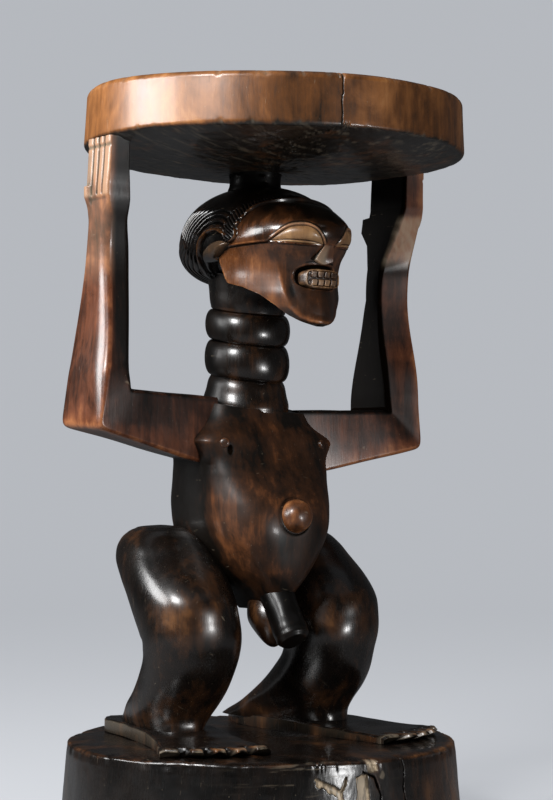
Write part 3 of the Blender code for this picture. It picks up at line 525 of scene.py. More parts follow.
def build_seat():
    """The round seat, hollowed a little on top and domed below, with a split and nicked rims."""
    edge, lower = SEAT_EDGE, SEAT_LOWER_EDGE
    top_radius, low_radius = SEAT_RADIUS - 0.0008, SEAT_RADIUS + 0.0002
    hollow_radius = 0.125
    profile = []
    for radius in np.linspace(HUB_RADIUS, hollow_radius, 40):
        profile.append((radius, SEAT_TOP - 0.0022 * (1 - (radius / hollow_radius) ** 4)))
    profile += spread((0.128, SEAT_TOP), (top_radius - edge - 0.001, SEAT_TOP), 5)
    profile += quarter(top_radius - edge, SEAT_TOP - edge, edge, 90, 0, 8)
    profile += spread((top_radius, SEAT_TOP - edge - 0.0008), (low_radius, SEAT_RIM + lower + 0.0006), 40)
    profile += quarter(low_radius - lower, SEAT_RIM + lower, lower, 0, -90, 6)
    for share in np.linspace(0.985, 0.03, 46):
        profile.append(((low_radius - lower) * share, SEAT_RIM - SEAT_DOME * (1 - share**3.5)))
    # Columns crowd round the split in the rim
    at_split = FULL_TURN + SEAT_SPLIT + FRONT - SHOWN_TURN
    crowded = np.linspace(at_split - 0.05, at_split + 0.05, 100)
    angle = np.sort(np.concatenate([turns(570), crowded]))
    grid = disc(profile, angle)
    x, y, z = np.moveaxis(grid, -1, 0)
    radius = np.hypot(x, y)
    around = angle / FULL_TURN * PATCHES_ROUND
    facing = turned_from(angle - FRONT + SHOWN_TURN) + 0 * z
    on_side = smooth(0.134, 0.140, radius) * smooth(SEAT_RIM - 0.001, SEAT_RIM + 0.003, z)
    on_top = smooth(SEAT_TOP - 0.0060, SEAT_TOP - 0.0035, z)
    below = smooth(SEAT_RIM + 0.002, SEAT_RIM - 0.001, z)
    amount = 0.0006 * ripple(grid, 0.05, 8) + 0.0010 * ripple(grid, 0.06, 9) * below

    # Worn and nicked rims
    top_rim = bump(radius, SEAT_RADIUS, 0.004) * smooth(SEAT_TOP - 0.006, SEAT_TOP - 0.001, z)
    low_rim = bump(radius, SEAT_RADIUS, 0.003) * smooth(SEAT_RIM + 0.005, SEAT_RIM + 0.001, z)
    nick = smooth(0.60, 0.80, cloud(around * 5.3, 0 * around, 71))
    low_nick = smooth(0.58, 0.80, cloud(around * 5.7, 0 * around, 81))
    amount -= 0.0010 * top_rim * nick + 0.0009 * low_rim * low_nick
    worn = bump(facing, -0.05, 0.8)
    fallen = -0.0030 * worn * smooth(0.110, 0.140, radius) * smooth(SEAT_RIM + 0.020, SEAT_TOP, z)

    # The split in the rim, which runs on below and on top
    wander = 0.020 * (cloud(z * 150, 0 * z, 91) - 0.5)
    split = bump(facing, SEAT_SPLIT + wander, 0.0050) * on_side
    under_split = bump(facing, 0.33 - (0.139 - radius) * 9 + wander, 0.010)
    under_split = under_split * below * smooth(0.085, 0.10, radius)
    top_width = 0.0045 * SEAT_RADIUS / np.maximum(radius, 0.03)
    drift = 0.06 * (cloud(radius * 60, 0 * radius, 93, 3) - 0.5) * smooth(0.138, 0.11, radius)
    top_split = bump(facing, SEAT_SPLIT + drift, top_width) * on_top * smooth(0.052, 0.085, radius)
    amount -= 0.0008 * split + 0.0006 * under_split + 0.0008 * top_split

    # Growth rings on top and tool marks underneath
    uneven = 0.012 * cloud(x * 16 + 3, y * 16 + 5, 125, 3)
    rings = (cloud((radius + uneven) * 330, 0 * radius, 123, 2) - 0.5) * on_top
    chisel = (cloud(around * 1.1, radius * 190, 101) - 0.5) * below
    grid = raised(grid, amount + 0.0012 * chisel)
    grid[..., 2] += fallen
    dark_side = smooth(0.36, 0.62, cloud(around * 0.55, z * 22, 111))
    # Painted highlight: the side towards the left lamp is painted lighter; painted shade: the underside is
    # painted darker
    left = bump(facing, -0.75, 0.5)
    tone = on_side * (0.07 + 0.15 * left - 0.27 * dark_side * smooth(-0.5, 0.2, facing)) - 0.46 * below
    tone = tone + 0.10 * chisel * below
    tone = tone - 0.30 * bump(z, SEAT_RIM + 0.001, 0.0022) * smooth(0.132, 0.138, radius)
    scrape = smooth(0.62, 0.74, cloud(x * 60 + y * 20, y * 560 - x * 110, 113, 3)) * below
    loft(
        "seat",
        grid,
        SEATED,
        wear=0.5,
        tone=tone - 0.15 * (split + top_split) + 0.30 * rings - 0.06 * on_top,
        bare=0.18 * top_rim * nick + 0.16 * low_rim * low_nick + 0.17 * scrape,
        soot_and_shade_more=0.4 * (split + under_split) + 0.5 * top_split,
    )


# Feet and legs

# Edges of the left foot from heel to toes: share of its length, place as shares of the base's top radius
FOOT_INNER = (
    (0.0, 0.320, 0.800), (0.17, 0.235, 0.590), (0.45, 0.218, 0.200), (0.72, 0.285, -0.170),
    (1.0, 0.345, -0.600),
)
FOOT_OUTER = (
    (0.0, 0.425, 0.825), (0.08, 0.505, 0.740), (0.33, 0.580, 0.390), (0.67, 0.700, -0.070),
    (1.0, 0.845, -0.385),
)
TOE_COUNT = 5
FOOT_THICKNESS = 0.0095


def build_foot(name, side):
    """A low foot with a steep side wall, five notched toes and their nails."""
    u = np.concatenate([np.linspace(0, 0.88, 80), np.linspace(0.884, 1.0, 60)])[:, None]
    v = np.concatenate([[0, 0, 0], np.linspace(0.0, 1.0, 200), [1, 1, 1]])[None, :]
    edges = (FOOT_INNER, FOOT_OUTER)
    inner, outer = (np.stack(columns(edge, u[:, 0]), axis=-1)[:, None, :] for edge in edges)
    place = BASE_TOP_RADIUS * (inner * (1 - v)[..., None] + outer * v[..., None])
    swell = 4 * v * (1 - v) * u**3
    place = place + BASE_TOP_RADIUS * swell[..., None] * np.array([0.035, -0.104])

    # Toes
    toe = v * TOE_COUNT
    between = np.abs(toe - np.clip(np.round(toe), 1, TOE_COUNT - 1))
    notch = np.exp(-((between / 0.21) ** 4)) * smooth(0.905, 0.920, u)
    inside = np.abs((toe % 1.0) - 0.5) * 2
    ahead = outer - inner
    ahead = np.stack([ahead[..., 1], -ahead[..., 0]], axis=-1)
    ahead = ahead / np.linalg.norm(ahead, axis=-1, keepdims=True)
    uneven = 0.0016 * (cloud(np.floor(toe) * 3.7 + 0.5, 0 * toe, 127, 1) - 0.5)
    back = 0.0100 * notch * smooth(0.92, 1.0, u) + 0.0012 * inside**3 * smooth(0.96, 1.0, u)
    place = place - ahead * (back + uneven * smooth(0.93, 1.0, u))[..., None]
    nail = smooth(0.62, 0.50, inside) * window(u, 0.962, 0.967, 0.990, 0.996)

    # Height, with a rounded lip and a steep wall
    thickness = FOOT_THICKNESS - 0.0036 * smooth(0.45, 0.90, u) - 0.0008 * smooth(0.10, 0.0, u)
    lip = 0.0012 * (1 - smooth(0.0, 0.035, np.minimum(v, 1 - v)))
    height = (thickness - lip) * (1 - 0.88 * notch) - 0.0006 * inside**2 * smooth(0.92, 0.95, u)
    height = height - 0.0014 * smooth(0.985, 1.0, u) * (1 - notch) + 0.0005 * nail
    wall = np.ones(v.shape[1])
    for column, share in enumerate((0.0, 0.45, 0.88)):
        wall[[column, -1 - column]] = share
    height = height * wall
    grid = np.concatenate([np.broadcast_to(place, (*height.shape, 2)), height[..., None]], axis=-1)
    grid[..., 2] += BASE_HEIGHT + 0.0003 + 0.00035 * ripple(grid, 0.016, 5) * wall
    grid[..., 0] *= side

    # Worn toes, and a pale edge painted on as a highlight where the side wall catches the light
    toes = smooth(0.92, 0.95, u) * (1 - notch)
    tone = -0.24 + 0.40 * toes * cloud(u * 40, toe * 2, 119) + 0.12 * nail
    bare = 0.22 * smooth(0.955, 1.0, u) * (1 - notch) * smooth(0.35, 0.65, cloud(u * 70, toe * 3, 121))
    edge = smooth(0.980, 0.996, v) + 0.3 * smooth(0.020, 0.004, v)
    edge = edge * smooth(0.25, 0.65, cloud(u * 6, v * 3, 129))
    bare = np.maximum(bare, (0.03 + 0.09 * wall) * edge * smooth(0.93, 0.90, u))
    # The notches between the toes are painted dark and dull as shade
    loft(name, grid, DARK, tone=tone, bare=bare, soot_and_shade_more=0.9 * notch)


LEG = (
    # height, place beside and behind the middle, half width, half length, squareness
    (0.0690, 0.0558, 0.0510, 0.0228, 0.0590, 2.7),
    (0.0715, 0.0560, 0.0490, 0.0240, 0.0560, 2.7),
    (0.0780, 0.0568, 0.0423, 0.0270, 0.0487, 2.6),
    (0.0859, 0.0577, 0.0336, 0.0302, 0.0435, 2.5),
    (0.0970, 0.0592, 0.0207, 0.0322, 0.0388, 2.4),
    (0.1101, 0.0604, 0.0096, 0.0335, 0.0361, 2.2),
    (0.1260, 0.0613, 0.0018, 0.0350, 0.0329, 2.1),
    (0.1370, 0.0614, 0.0026, 0.0363, 0.0361, 2.1),
    (0.1498, 0.0609, 0.0085, 0.0375, 0.0425, 2.1),
    (0.1650, 0.0602, 0.0182, 0.0380, 0.0497, 2.1),
    (0.1802, 0.0592, 0.0324, 0.0374, 0.0513, 2.1),
    (0.1954, 0.0583, 0.0461, 0.0347, 0.0465, 2.1),
    (0.2050, 0.0579, 0.0508, 0.0308, 0.0403, 2.1),
    (0.2110, 0.0578, 0.0525, 0.0258, 0.0335, 2.1),
    (0.2150, 0.0578, 0.0529, 0.0195, 0.0252, 2.1),
    (0.2172, 0.0578, 0.0529, 0.0120, 0.0160, 2.1),
    (0.2180, 0.0578, 0.0529, 0.0030, 0.0045, 2.1),
)
LEG_SPLAY = math.radians(13)


def build_leg(name, side, nodes):
    """A bent leg in one sweep, with the fold behind the knee."""
    crown = 0.2045 + 0.0135 * np.sin(np.linspace(0, 1, 40) * math.pi / 2)
    levels = np.concatenate([np.linspace(LEG[0][0], 0.2040, 140), crown])
    beside, behind, half_width, half_length, squareness = (c[:, None] for c in columns(LEG, levels))
    across, along = outline(turns(200), half_width, -half_length, half_length, 0.0, squareness)
    splay = LEG_SPLAY * side
    x = side * beside + across * math.cos(splay) - along * math.sin(splay)
    y = behind + across * math.sin(splay) + along * math.cos(splay)
    z = np.broadcast_to(levels[:, None], x.shape)
    grid = np.stack([x, y, z], axis=-1)
    share = along / half_length
    fold = bump(z + 0.010 * np.maximum(share, 0), 0.1375, 0.0030) * smooth(0.0, 0.7, share)
    kneecap = 0.0008 * bump(z, 0.139, 0.014) * smooth(-0.2, -0.9, share)
    amount = 0.0006 * ripple(grid, 0.030, 13) - 0.0020 * fold + kneecap
    grid = raised(grid, amount * smooth(0.2178, 0.2150, z))
    brown = bump(z, 0.150, 0.018) * smooth(-0.1, -0.8, share)
    mottle = smooth(0.45, 0.70, cloud(across * 60 + 9, z * 45, 143, 5))
    tone = -0.16 + 0.20 * brown + 0.22 * mottle + 0.06 * bump(z, 0.085, 0.012)
    loft(name, grid, DARK, nodes, tone=tone, soot_and_shade_more=0.7 * fold, wear=0.5)


# Trunk

TRUNK = (
    # height, half width, front, back and squareness
    (0.1570, 0.0070, -0.0190, 0.0120, 2.2),
    (0.1630, 0.0134, -0.0240, 0.0249, 2.3),
    (0.1704, 0.0202, -0.0290, 0.0498, 2.4),
    (0.1808, 0.0297, -0.0347, 0.0649, 2.5),
    (0.2000, 0.0426, -0.0397, 0.0765, 2.6),
    (0.2148, 0.0487, -0.0410, 0.0800, 2.7),
    (0.2326, 0.0515, -0.0379, 0.0800, 2.8),
    (0.2548, 0.0540, -0.0240, 0.0701, 3.1),
    (0.2700, 0.0563, -0.0150, 0.0630, 3.6),
    (0.2765, 0.0590, -0.0122, 0.0603, 4.0),
    (0.2800, 0.0602, -0.0108, 0.0591, 4.2),
    (0.2840, 0.0578, -0.0094, 0.0580, 4.2),
    (0.2900, 0.0520, -0.0072, 0.0566, 4.0),
    (0.2980, 0.0460, -0.0042, 0.0556, 3.6),
    (0.3085, 0.0412, -0.0008, 0.0545, 3.2),
)
TRUNK_MIDDLE = 0.022
NAVEL_HEIGHT, NAVEL_RADIUS = 0.2260, 0.0122
NIPPLE_HEIGHT, NIPPLE_ASIDE = 0.2790, 0.0435
# The shoulders slope down towards the figure's left
SHOULDER_SLOPE = 0.07


def trunk_y(x, level):
    """Front of the trunk at a place beside the middle."""
    half_width, front, _, squareness = columns(TRUNK, np.array(level))
    share = np.abs(x / half_width) ** squareness
    return float(TRUNK_MIDDLE - (TRUNK_MIDDLE - front) * (1 - share) ** (1 / squareness))


def build_torso():
    """The shield-like trunk, whose chest stands proud of the arms."""
    levels = np.linspace(TRUNK[0][0], TRUNK[-1][0], 200)
    half_width, front, back, squareness = (c[:, None] for c in columns(TRUNK, levels))
    across, along = outline(turns(320), half_width, front, back, TRUNK_MIDDLE, squareness)
    z = np.broadcast_to(levels[:, None], across.shape)
    slope = smooth(0.279, TRUNK[-1][0], z)
    drop = slope * (SHOULDER_SLOPE * across - NECK_SLOPE * (along - NECK_SETBACK))
    grid = np.stack([across, along, z - drop], axis=-1)
    sideways = np.abs(across) / half_width
    ahead = smooth(TRUNK_MIDDLE, TRUNK_MIDDLE - 0.006, along)
    waist = window(z, 0.180, 0.205, 0.262, 0.285)
    flank = bump(along, 0.010, 0.013) * smooth(0.7, 0.97, sideways) * waist
    navel_ring = bump(np.hypot(across, z - NAVEL_HEIGHT), 0.0135, 0.0012) * ahead
    gouge = bump(across, -0.0395, 0.0022) * bump(z, 0.2742, 0.0034) * ahead
    amount = 0.0006 * ripple(grid, 0.030, 17) - 0.0030 * flank - 0.0003 * navel_ring - 0.0012 * gouge
    grid = raised(grid, amount)
    # Painted light and shade: the front is painted lighter than the flanks and back, which are painted
    # darker as shade
    front_light = smooth(0.016, -0.004, along)
    mottle = cloud(across * 45 + 4, z * 34, 151, 5) - 0.5
    patch = bump(across, -0.006, 0.013) * bump(z, 0.1855, 0.0045) * ahead
    tone = -0.30 + 0.34 * front_light + 0.56 * mottle * front_light + 0.36 * patch
    tone = tone - 0.10 * bump(z, 0.262, 0.016) - 0.12 * smooth(0.293, 0.302, z) * ahead
    tone = tone + 0.08 * bump(sideways, 0.86, 0.10) * ahead * smooth(0.27, 0.25, z)
    # Painted shade under the belly and in the gouge beside the right nipple, darker and duller
    underside = smooth(0.192, 0.178, z) * smooth(-0.016, -0.002, along)
    soot_and_shade = 0.40 + 0.2 * navel_ring + 0.6 * underside + 0.8 * gouge
    loft("torso", grid, BROWN, tone=tone, soot_and_shade_more=soot_and_shade, wear=0.7)


def build_dome(name, place, way, radius, rise, tone):
    """A low turned button on the skin at a place, facing a direction."""
    turn = np.array(Vector(way).normalized().to_track_quat("Z", "Y").to_matrix())
    share = np.concatenate([np.linspace(0.02, 0.9, 26), np.linspace(0.915, 1.0, 8)])
    height = rise * np.sqrt(np.maximum(0.0, 1 - share**2.3))
    profile = list(zip(radius * share, height))
    profile += [(radius * 0.98, -0.3 * radius), (radius * 0.9, -0.6 * radius)]
    grid = disc(profile, turns(96)) @ turn.T + np.array(place)
    loft(name, rippled(grid, 0.0002, 0.006, 23), BROWN, tone=tone)


def build_chest_details():
    y = trunk_y(0.0, NAVEL_HEIGHT)
    build_dome("navel", (0, y + 0.0010, NAVEL_HEIGHT), (0, -1, 0.10), NAVEL_RADIUS, 0.0118, 0.02)
    y = trunk_y(NIPPLE_ASIDE, NIPPLE_HEIGHT)
    for name, side in (("nipple_left", 1), ("nipple_right", -1)):
        place = (side * NIPPLE_ASIDE, y + 0.0002, NIPPLE_HEIGHT)
        build_dome(name, place, (side * 0.55, -0.83, 0.10), 0.0036, 0.0016, -0.20)


def build_groin():
    """Two plain rounded masses below the belly."""
    root, end = np.array([0.0, -0.0165, 0.168]), np.array([0.0, -0.0415, 0.1340])
    axis = end - root
    ahead = np.array([0.0, axis[2], -axis[1]]) / np.linalg.norm(axis)
    rounded = 0.93 + 0.07 * np.sin(np.linspace(0.1, math.pi / 2, 14))
    share = np.concatenate([np.linspace(0.0, 0.93, 56), rounded])
    widths = ((0, 1.02), (0.30, 0.99), (0.55, 0.99), (0.80, 0.98), (0.93, 0.86), (0.975, 0.62), (1.0, 0.08))
    width = 0.0125 * line(widths, share)
    angle = turns(90)
    centre = root + axis * share[:, None]
    ring = np.cos(angle)[:, None] * np.array([1.0, 0, 0]) + np.sin(angle)[:, None] * ahead
    grid = centre[:, None, :] + width[:, None, None] * ring
    tone = -0.16 + 0.08 * smooth(0.40, 0.80, share)[:, None]
    loft("groin_front", rippled(grid, 0.0003, 0.01, 27), DARK, tone=tone, soot_and_shade_more=0.65)
    polar = np.linspace(0.04, math.pi - 0.04, 50)
    grid = disc(np.stack([np.sin(polar), np.cos(polar)], axis=-1), angle)
    narrow = 1 - 0.30 * smooth(0.0, -1.0, grid[..., 2])
    grid = grid * np.array([0.0158, 0.0165, 0.0215])
    grid[..., :2] *= narrow[..., None]
    middle = np.array([0.0, -0.0070, 0.1510])
    grid = grid + middle
    grid[..., 1] -= 0.30 * (middle[2] - grid[..., 2])
    loft("groin_rear", rippled(grid, 0.0003, 0.012, 29), DARK)


# Neck

NECK_RINGS = (("neck_ring_lower", 0.3290, 0.3555), ("neck_ring_upper", 0.3555, 0.3785))
# Collars: name, bottom, height, and radius by share of the height
NECK_COLLARS = (
    ("neck_collar_base", 0.3050, 0.0245,
     ((0, 0.0290), (0.04, 0.0312), (0.12, 0.0318), (0.55, 0.0300), (0.9, 0.0277), (1.0, 0.0262))),
    ("neck_collar_top", 0.3780, 0.0290,
     ((0, 0.0255), (0.04, 0.0276), (0.10, 0.0282), (0.55, 0.0302), (0.95, 0.0322), (1.0, 0.0325))),
)
# Direction of the side of the neck where the right forearm's shadow is painted, darker and duller
PAINTED_SHADOW_WAY = (-0.829, 0.559)


def build_neck():
    """Two full rings between a flared collar below and a cupped collar above, sloping towards the front."""
    bulge = np.linspace(-math.pi / 2, math.pi / 2, 48)
    ring_radius = NECK_WAIST - 0.0012 + (NECK_RADIUS - NECK_WAIST + 0.0014) * np.cos(bulge) ** 0.9
    share = np.linspace(0, 1, 40)
    rings = []
    for name, bottom, top in NECK_RINGS:
        rings.append((name, ring_radius, bottom + (top - bottom) * ((1 + np.sin(bulge)) / 2)))
    for name, bottom, height, radii in NECK_COLLARS:
        rings.append((name, line(radii, share), bottom + height * share))
    for name, radius, height in rings:
        profile = [(radius[0] * 0.8, height[0]), *zip(radius, height), (radius[-1] * 0.8, height[-1])]
        grid = disc(profile, turns(200))
        grid[..., 2] += NECK_SLOPE * grid[..., 1]
        grid[..., 1] += NECK_SETBACK
        x, y, z = np.moveaxis(grid, -1, 0)
        red = smooth(0.42, 0.62, cloud(x * 30 + 3, z * 30, 161))
        tone = -0.16 + 0.32 * red * smooth(0.04, 0.01, y)
        aside = (PAINTED_SHADOW_WAY[1] * (y - NECK_SETBACK) + PAINTED_SHADOW_WAY[0] * x) / NECK_RADIUS
        # Painted shadow of the right forearm: this side of each ring is made darker and duller, least on the
        # top collar
        painted_shadow = (0.15 if name == "neck_collar_top" else 0.75) * smooth(0.42, 0.58, aside)
        carved = rippled(grid, 0.0004, 0.022, 31)
        loft(name, carved, DARK, tone=tone + 0.3 * painted_shadow, wear=0.5, soot_and_shade_more=painted_shadow)


# Head

FACE = (
    # height, half width, front, middle and squareness
    (0.3630, 0.0150, -0.0655, 0.0030, 2.0),
    (0.3645, 0.0215, -0.0672, 0.0030, 2.0),
    (0.3660, 0.0262, -0.0680, 0.0030, 2.0),
    (0.3680, 0.0305, -0.0683, 0.0030, 2.0),
    (0.3710, 0.0342, -0.0681, 0.0030, 2.0),
    (0.3780, 0.0392, -0.0668, 0.0030, 1.95),
    (0.3860, 0.0446, -0.0642, 0.0030, 1.88),
    (0.3920, 0.0466, -0.0622, 0.0030, 1.82),
    (0.3970, 0.0473, -0.0612, 0.0030, 1.80),
    (0.4040, 0.0480, -0.0612, 0.0050, 1.80),
    (0.4120, 0.0492, -0.0630, 0.0100, 1.90),
    (0.4200, 0.0500, -0.0690, 0.0120, 2.00),
    (0.4270, 0.0500, -0.0732, 0.0120, 2.03),
    (0.4330, 0.0494, -0.0738, 0.0120, 2.05),
    (0.4400, 0.0475, -0.0698, 0.0120, 2.08),
    (0.4460, 0.0446, -0.0616, 0.0120, 2.08),
    (0.4520, 0.0396, -0.0510, 0.0120, 2.05),
    (0.4565, 0.0325, -0.0385, 0.0120, 2.0),
    (0.4600, 0.0240, -0.0270, 0.0120, 2.0),
    (0.4630, 0.0140, -0.0160, 0.0120, 2.0),
)
FACE_COLUMNS = 330
# How far back the slanting underside of the jaw cuts the face: height, place along the head
JAW_BACK = (
    (0.3630, -0.0640), (0.3650, -0.0610), (0.3665, -0.0588), (0.3690, -0.0560), (0.3710, -0.0535),
    (0.3736, -0.0510), (0.3780, -0.0465), (0.3860, -0.0370), (0.3920, -0.0240), (0.3955, -0.0100),
    (0.4000, 0.0120), (0.4300, 0.0120),
)
# The jaw's bent upright edge before the hollow below the ear, in millimetres: height, place along
JAW_EDGE = (
    (385.0, -18.0), (396.6, -9.3), (404.9, -5.5), (413.7, -2.4), (418.4, -9.1), (421.6, -14.6),
    (423.0, -17.0),
)
# The features are carved a little to the figure's left of its middle
MIDLINE = 0.0030
# Lines of the face in millimetres: beside the middle, above the floor
LID_UPPER = (
    (5.0, 421.5), (8.4, 426.0), (12.0, 430.2), (16.8, 433.5), (23.6, 434.5), (30.0, 432.9), (34.8, 428.8),
    (38.4, 423.8),
)
LID_LOWER = ((5.0, 421.2), (16.8, 421.5), (23.6, 421.9), (30.0, 422.5), (38.4, 423.5))
BROW_LINE = ((0, 421.6), (5, 421.3), (16.8, 421.3), (30, 422.3), (38.4, 423.3), (43, 422.8), (55, 420.2))
CHEEK_RIDGE = (
    (0.0, 365.2), (6.8, 365.6), (12.2, 366.8), (17.0, 369.3), (20.9, 372.8), (23.8, 376.7), (26.8, 386.5),
    (27.7, 394.6), (28.1, 399.6), (30.4, 408.9), (37.6, 420.0),
)
EYE_START, EYE_LENGTH = 5.0, 33.4
MOUTH_HEIGHT, MOUTH_HALF_WIDTH, MOUTH_HALF_HEIGHT = 398.8, 20.2, 8.3
NOSE_TOP, NOSE_BOTTOM = 425.4, 412.4
TEETH_HEIGHT, TEETH_HALF_WIDTH, TEETH_HALF_HEIGHT, TOOTH_WIDTH = 397.6, 15.2, 7.2, 5.6


def jaw_edge(level):
    """Place along the head of the jaw's upright edge, in millimetres."""
    return np.interp(level, *np.array(JAW_EDGE).T)


def face_y(x, level):
    """Front of the face at a place beside the middle."""
    half_width, front, middle, squareness = columns(FACE, level)
    share = np.clip(np.abs(x) / half_width, 0, 0.999)
    return middle - (middle - front) * (1 - share**squareness) ** (1 / squareness)


def build_face():
    """The face, with carved planes for brow, cheeks and mouth over a crisp slanting jaw."""
    levels = np.concatenate([np.linspace(0.3630, 0.3655, 8), np.linspace(0.3660, 0.4630, 230)])
    half_width, front, middle, squareness = (c[:, None] for c in columns(FACE, levels))
    back = np.minimum(np.interp(levels, *np.array(JAW_BACK).T)[:, None], middle)
    cut = np.arcsin(((middle - back) / (middle - front)) ** (squareness / 2))
    angle = -math.pi + cut + np.linspace(0, 1, FACE_COLUMNS) * (math.pi - 2 * cut)
    across, along = outline(angle, half_width, front, back, middle, squareness)
    close = np.linspace(0, math.pi, 26)[1:-1]
    across = np.concatenate([across, across[:, -1:] * np.cos(close)], axis=1)
    along = np.concatenate([along, back + 0.0015 * np.sin(close)], axis=1)
    z = np.broadcast_to(levels[:, None], across.shape)
    grid = np.stack([across, along, z], axis=-1)
    x_mm, z_mm = np.abs(across - MIDLINE) / MM, z / MM
    ahead = smooth(0.004, -0.010, along)
    ahead[:, FACE_COLUMNS:] = 0

    # Brow and eye sockets
    above_brow = z_mm - line(BROW_LINE, x_mm)
    brow = window(above_brow, -0.6, 0.7, 4, 24)
    upper, lower = line(LID_UPPER, x_mm), line(LID_LOWER, x_mm)
    socket = smooth(-0.3, 0.6, np.minimum(upper - z_mm, z_mm - lower)) * window(x_mm, 4.5, 5.6, 37.8, 39.2)
    lid = bump(z_mm - upper, 1.0, 0.95) * window(x_mm, 4.0, 6.0, 34.0, 39.5)
    crease = bump(z_mm - upper, 2.7, 0.6) * window(x_mm, 7.0, 11.0, 26.0, 33.0)

    # Cheek ridge, the plane within it, and the mouth
    ridge_x = np.interp(z_mm, [p[1] for p in CHEEK_RIDGE], [p[0] for p in CHEEK_RIDGE])
    below_eye = smooth(418.0, 402.0, z_mm)
    apart = apart_from(CHEEK_RIDGE, x_mm, z_mm)
    within = np.where(x_mm < ridge_x, apart, -apart)
    ridge = bump(apart, 0.0, 1.5) * below_eye
    plane = smooth(-0.3, 6.0, within) * below_eye
    under = smooth(-0.2, -1.4, within) * smooth(379.0, 373.0, z_mm)
    from_mouth = (x_mm / MOUTH_HALF_WIDTH) ** 3 + (np.abs(z_mm - MOUTH_HEIGHT) / MOUTH_HALF_HEIGHT) ** 3
    from_mouth = from_mouth ** (1 / 3)
    mouth = smooth(1.05, 0.92, from_mouth)
    lips = bump(from_mouth, 1.13, 0.07) * smooth(391, 399, z_mm) * smooth(16.0, 11.0, x_mm)
    amount = 1.5 * brow - 1.6 * socket + 0.75 * lid - 0.3 * crease + 0.35 * ridge - 1.2 * plane
    amount = amount - 3.2 * mouth + 0.5 * lips
    amount = (amount + 0.22 * ripple(grid, 0.020, 37)) * ahead
    grid = raised(grid, amount * MM)

    # Behind its edge the jaw falls away into the hollow below the ear
    edge = jaw_edge(z_mm) * MM
    behind_jaw = smooth(0.0, 0.0010, along - edge) * smooth(0.4225, 0.4215, z) * smooth(0.389, 0.392, z)
    behind_jaw = behind_jaw * smooth(0.02, 0.03, np.abs(across))
    grid[..., 0] -= np.sign(grid[..., 0]) * 0.0120 * behind_jaw

    # Crown painted dark as the seat's shadow, darker forehead and chin, cheeks painted lighter and warmer
    # where lit, and glossy brow
    crown = smooth(436.0, 448.0, z_mm)
    mottle = cloud(across * 60 + 7, z * 60, 171, 5) - 0.5
    chin = smooth(392.0, 384.0, z_mm) * plane
    forehead = smooth(21.0, 11.0, x_mm) * smooth(423.0, 428.0, z_mm)
    # Painted shade: the front plane within the cheek ridges and the underside of the chin are painted darker
    tone = 0.04 + 0.16 * ridge * smooth(396.0, 380.0, z_mm) - 0.14 * plane - 0.10 * chin - 0.40 * crown
    tone = tone + 0.30 * mottle + 0.25 * lid - 0.38 * forehead * (1 - lid) - 0.40 * under
    tone = tone - 0.22 * bump(x_mm, 23.0, 4.0) * bump(z_mm, 388.0, 5.0) * plane
    # Painted light: the cheeks outside the ridges are painted lighter where the lamp falls on them
    tone = tone + 0.12 * smooth(420, 412, z_mm) * smooth(ridge_x, ridge_x + 6, x_mm)
    # Painted shade: the bottom of the chin, the hollow behind the jaw and the closing strip below and behind
    # the face are painted dark
    tone = tone - 0.30 * smooth(366, 363.5, z_mm) - 0.8 * behind_jaw
    tone[:, FACE_COLUMNS:] -= 0.6
    loft(
        "face",
        grid,
        BROWN,
        tone=tone,
        wear=0.8,
        # Painted shade: the mouth's recess and the hollow behind the jaw are darkened and dulled
        soot_and_shade_more=mouth + 0.2 * crease + 0.8 * behind_jaw,
        shine=1.3 * smooth(418, 424, z_mm) + 0.9 * smooth(-0.045, -0.020, along) * smooth(424, 418, z_mm),
        bare=0.20 * lid * ahead,
    )
    return grid


def build_eye(name, side):
    """A half-moon lens with its lower lid."""
    share = np.linspace(0.012, 0.988, 110)[None, :]
    rise = np.linspace(0.0, 1.0, 56)[:, None]
    x = EYE_START + share * EYE_LENGTH
    z = line(LID_LOWER, x) + rise * np.maximum(line(LID_UPPER, x) - line(LID_LOWER, x), 0.05)
    x = np.broadcast_to(x, z.shape)
    swell = np.sin(math.pi * np.clip(rise, 0, 1)) ** 0.8 * np.sin(math.pi * share) ** 0.6
    slit = bump(rise, 0.19, 0.035) * window(share, 0.02, 0.1, 0.9, 0.98)
    bar = bump(rise, 0.08, 0.06) * window(share, 0.0, 0.08, 0.92, 1.0)
    x = MIDLINE + side * x * MM
    grid = np.stack([x, face_y(x, z * MM), z * MM], axis=-1)
    way = normals(grid, False)
    way = np.where(way[..., 1:2] < 0, way, -way)
    amount = -0.5 + 2.0 * swell - 0.55 * slit + 0.5 * bar + 0.08 * ripple(grid, 0.006, 41)
    grid = grid + way * (amount * MM)[..., None]
    tone = 0.05 - 0.35 * slit + 0.10 * bar
    plate(name, grid[:, ::side], (-side * 0.001, 0.006, 0.0), PALE, tone=tone[:, ::side])


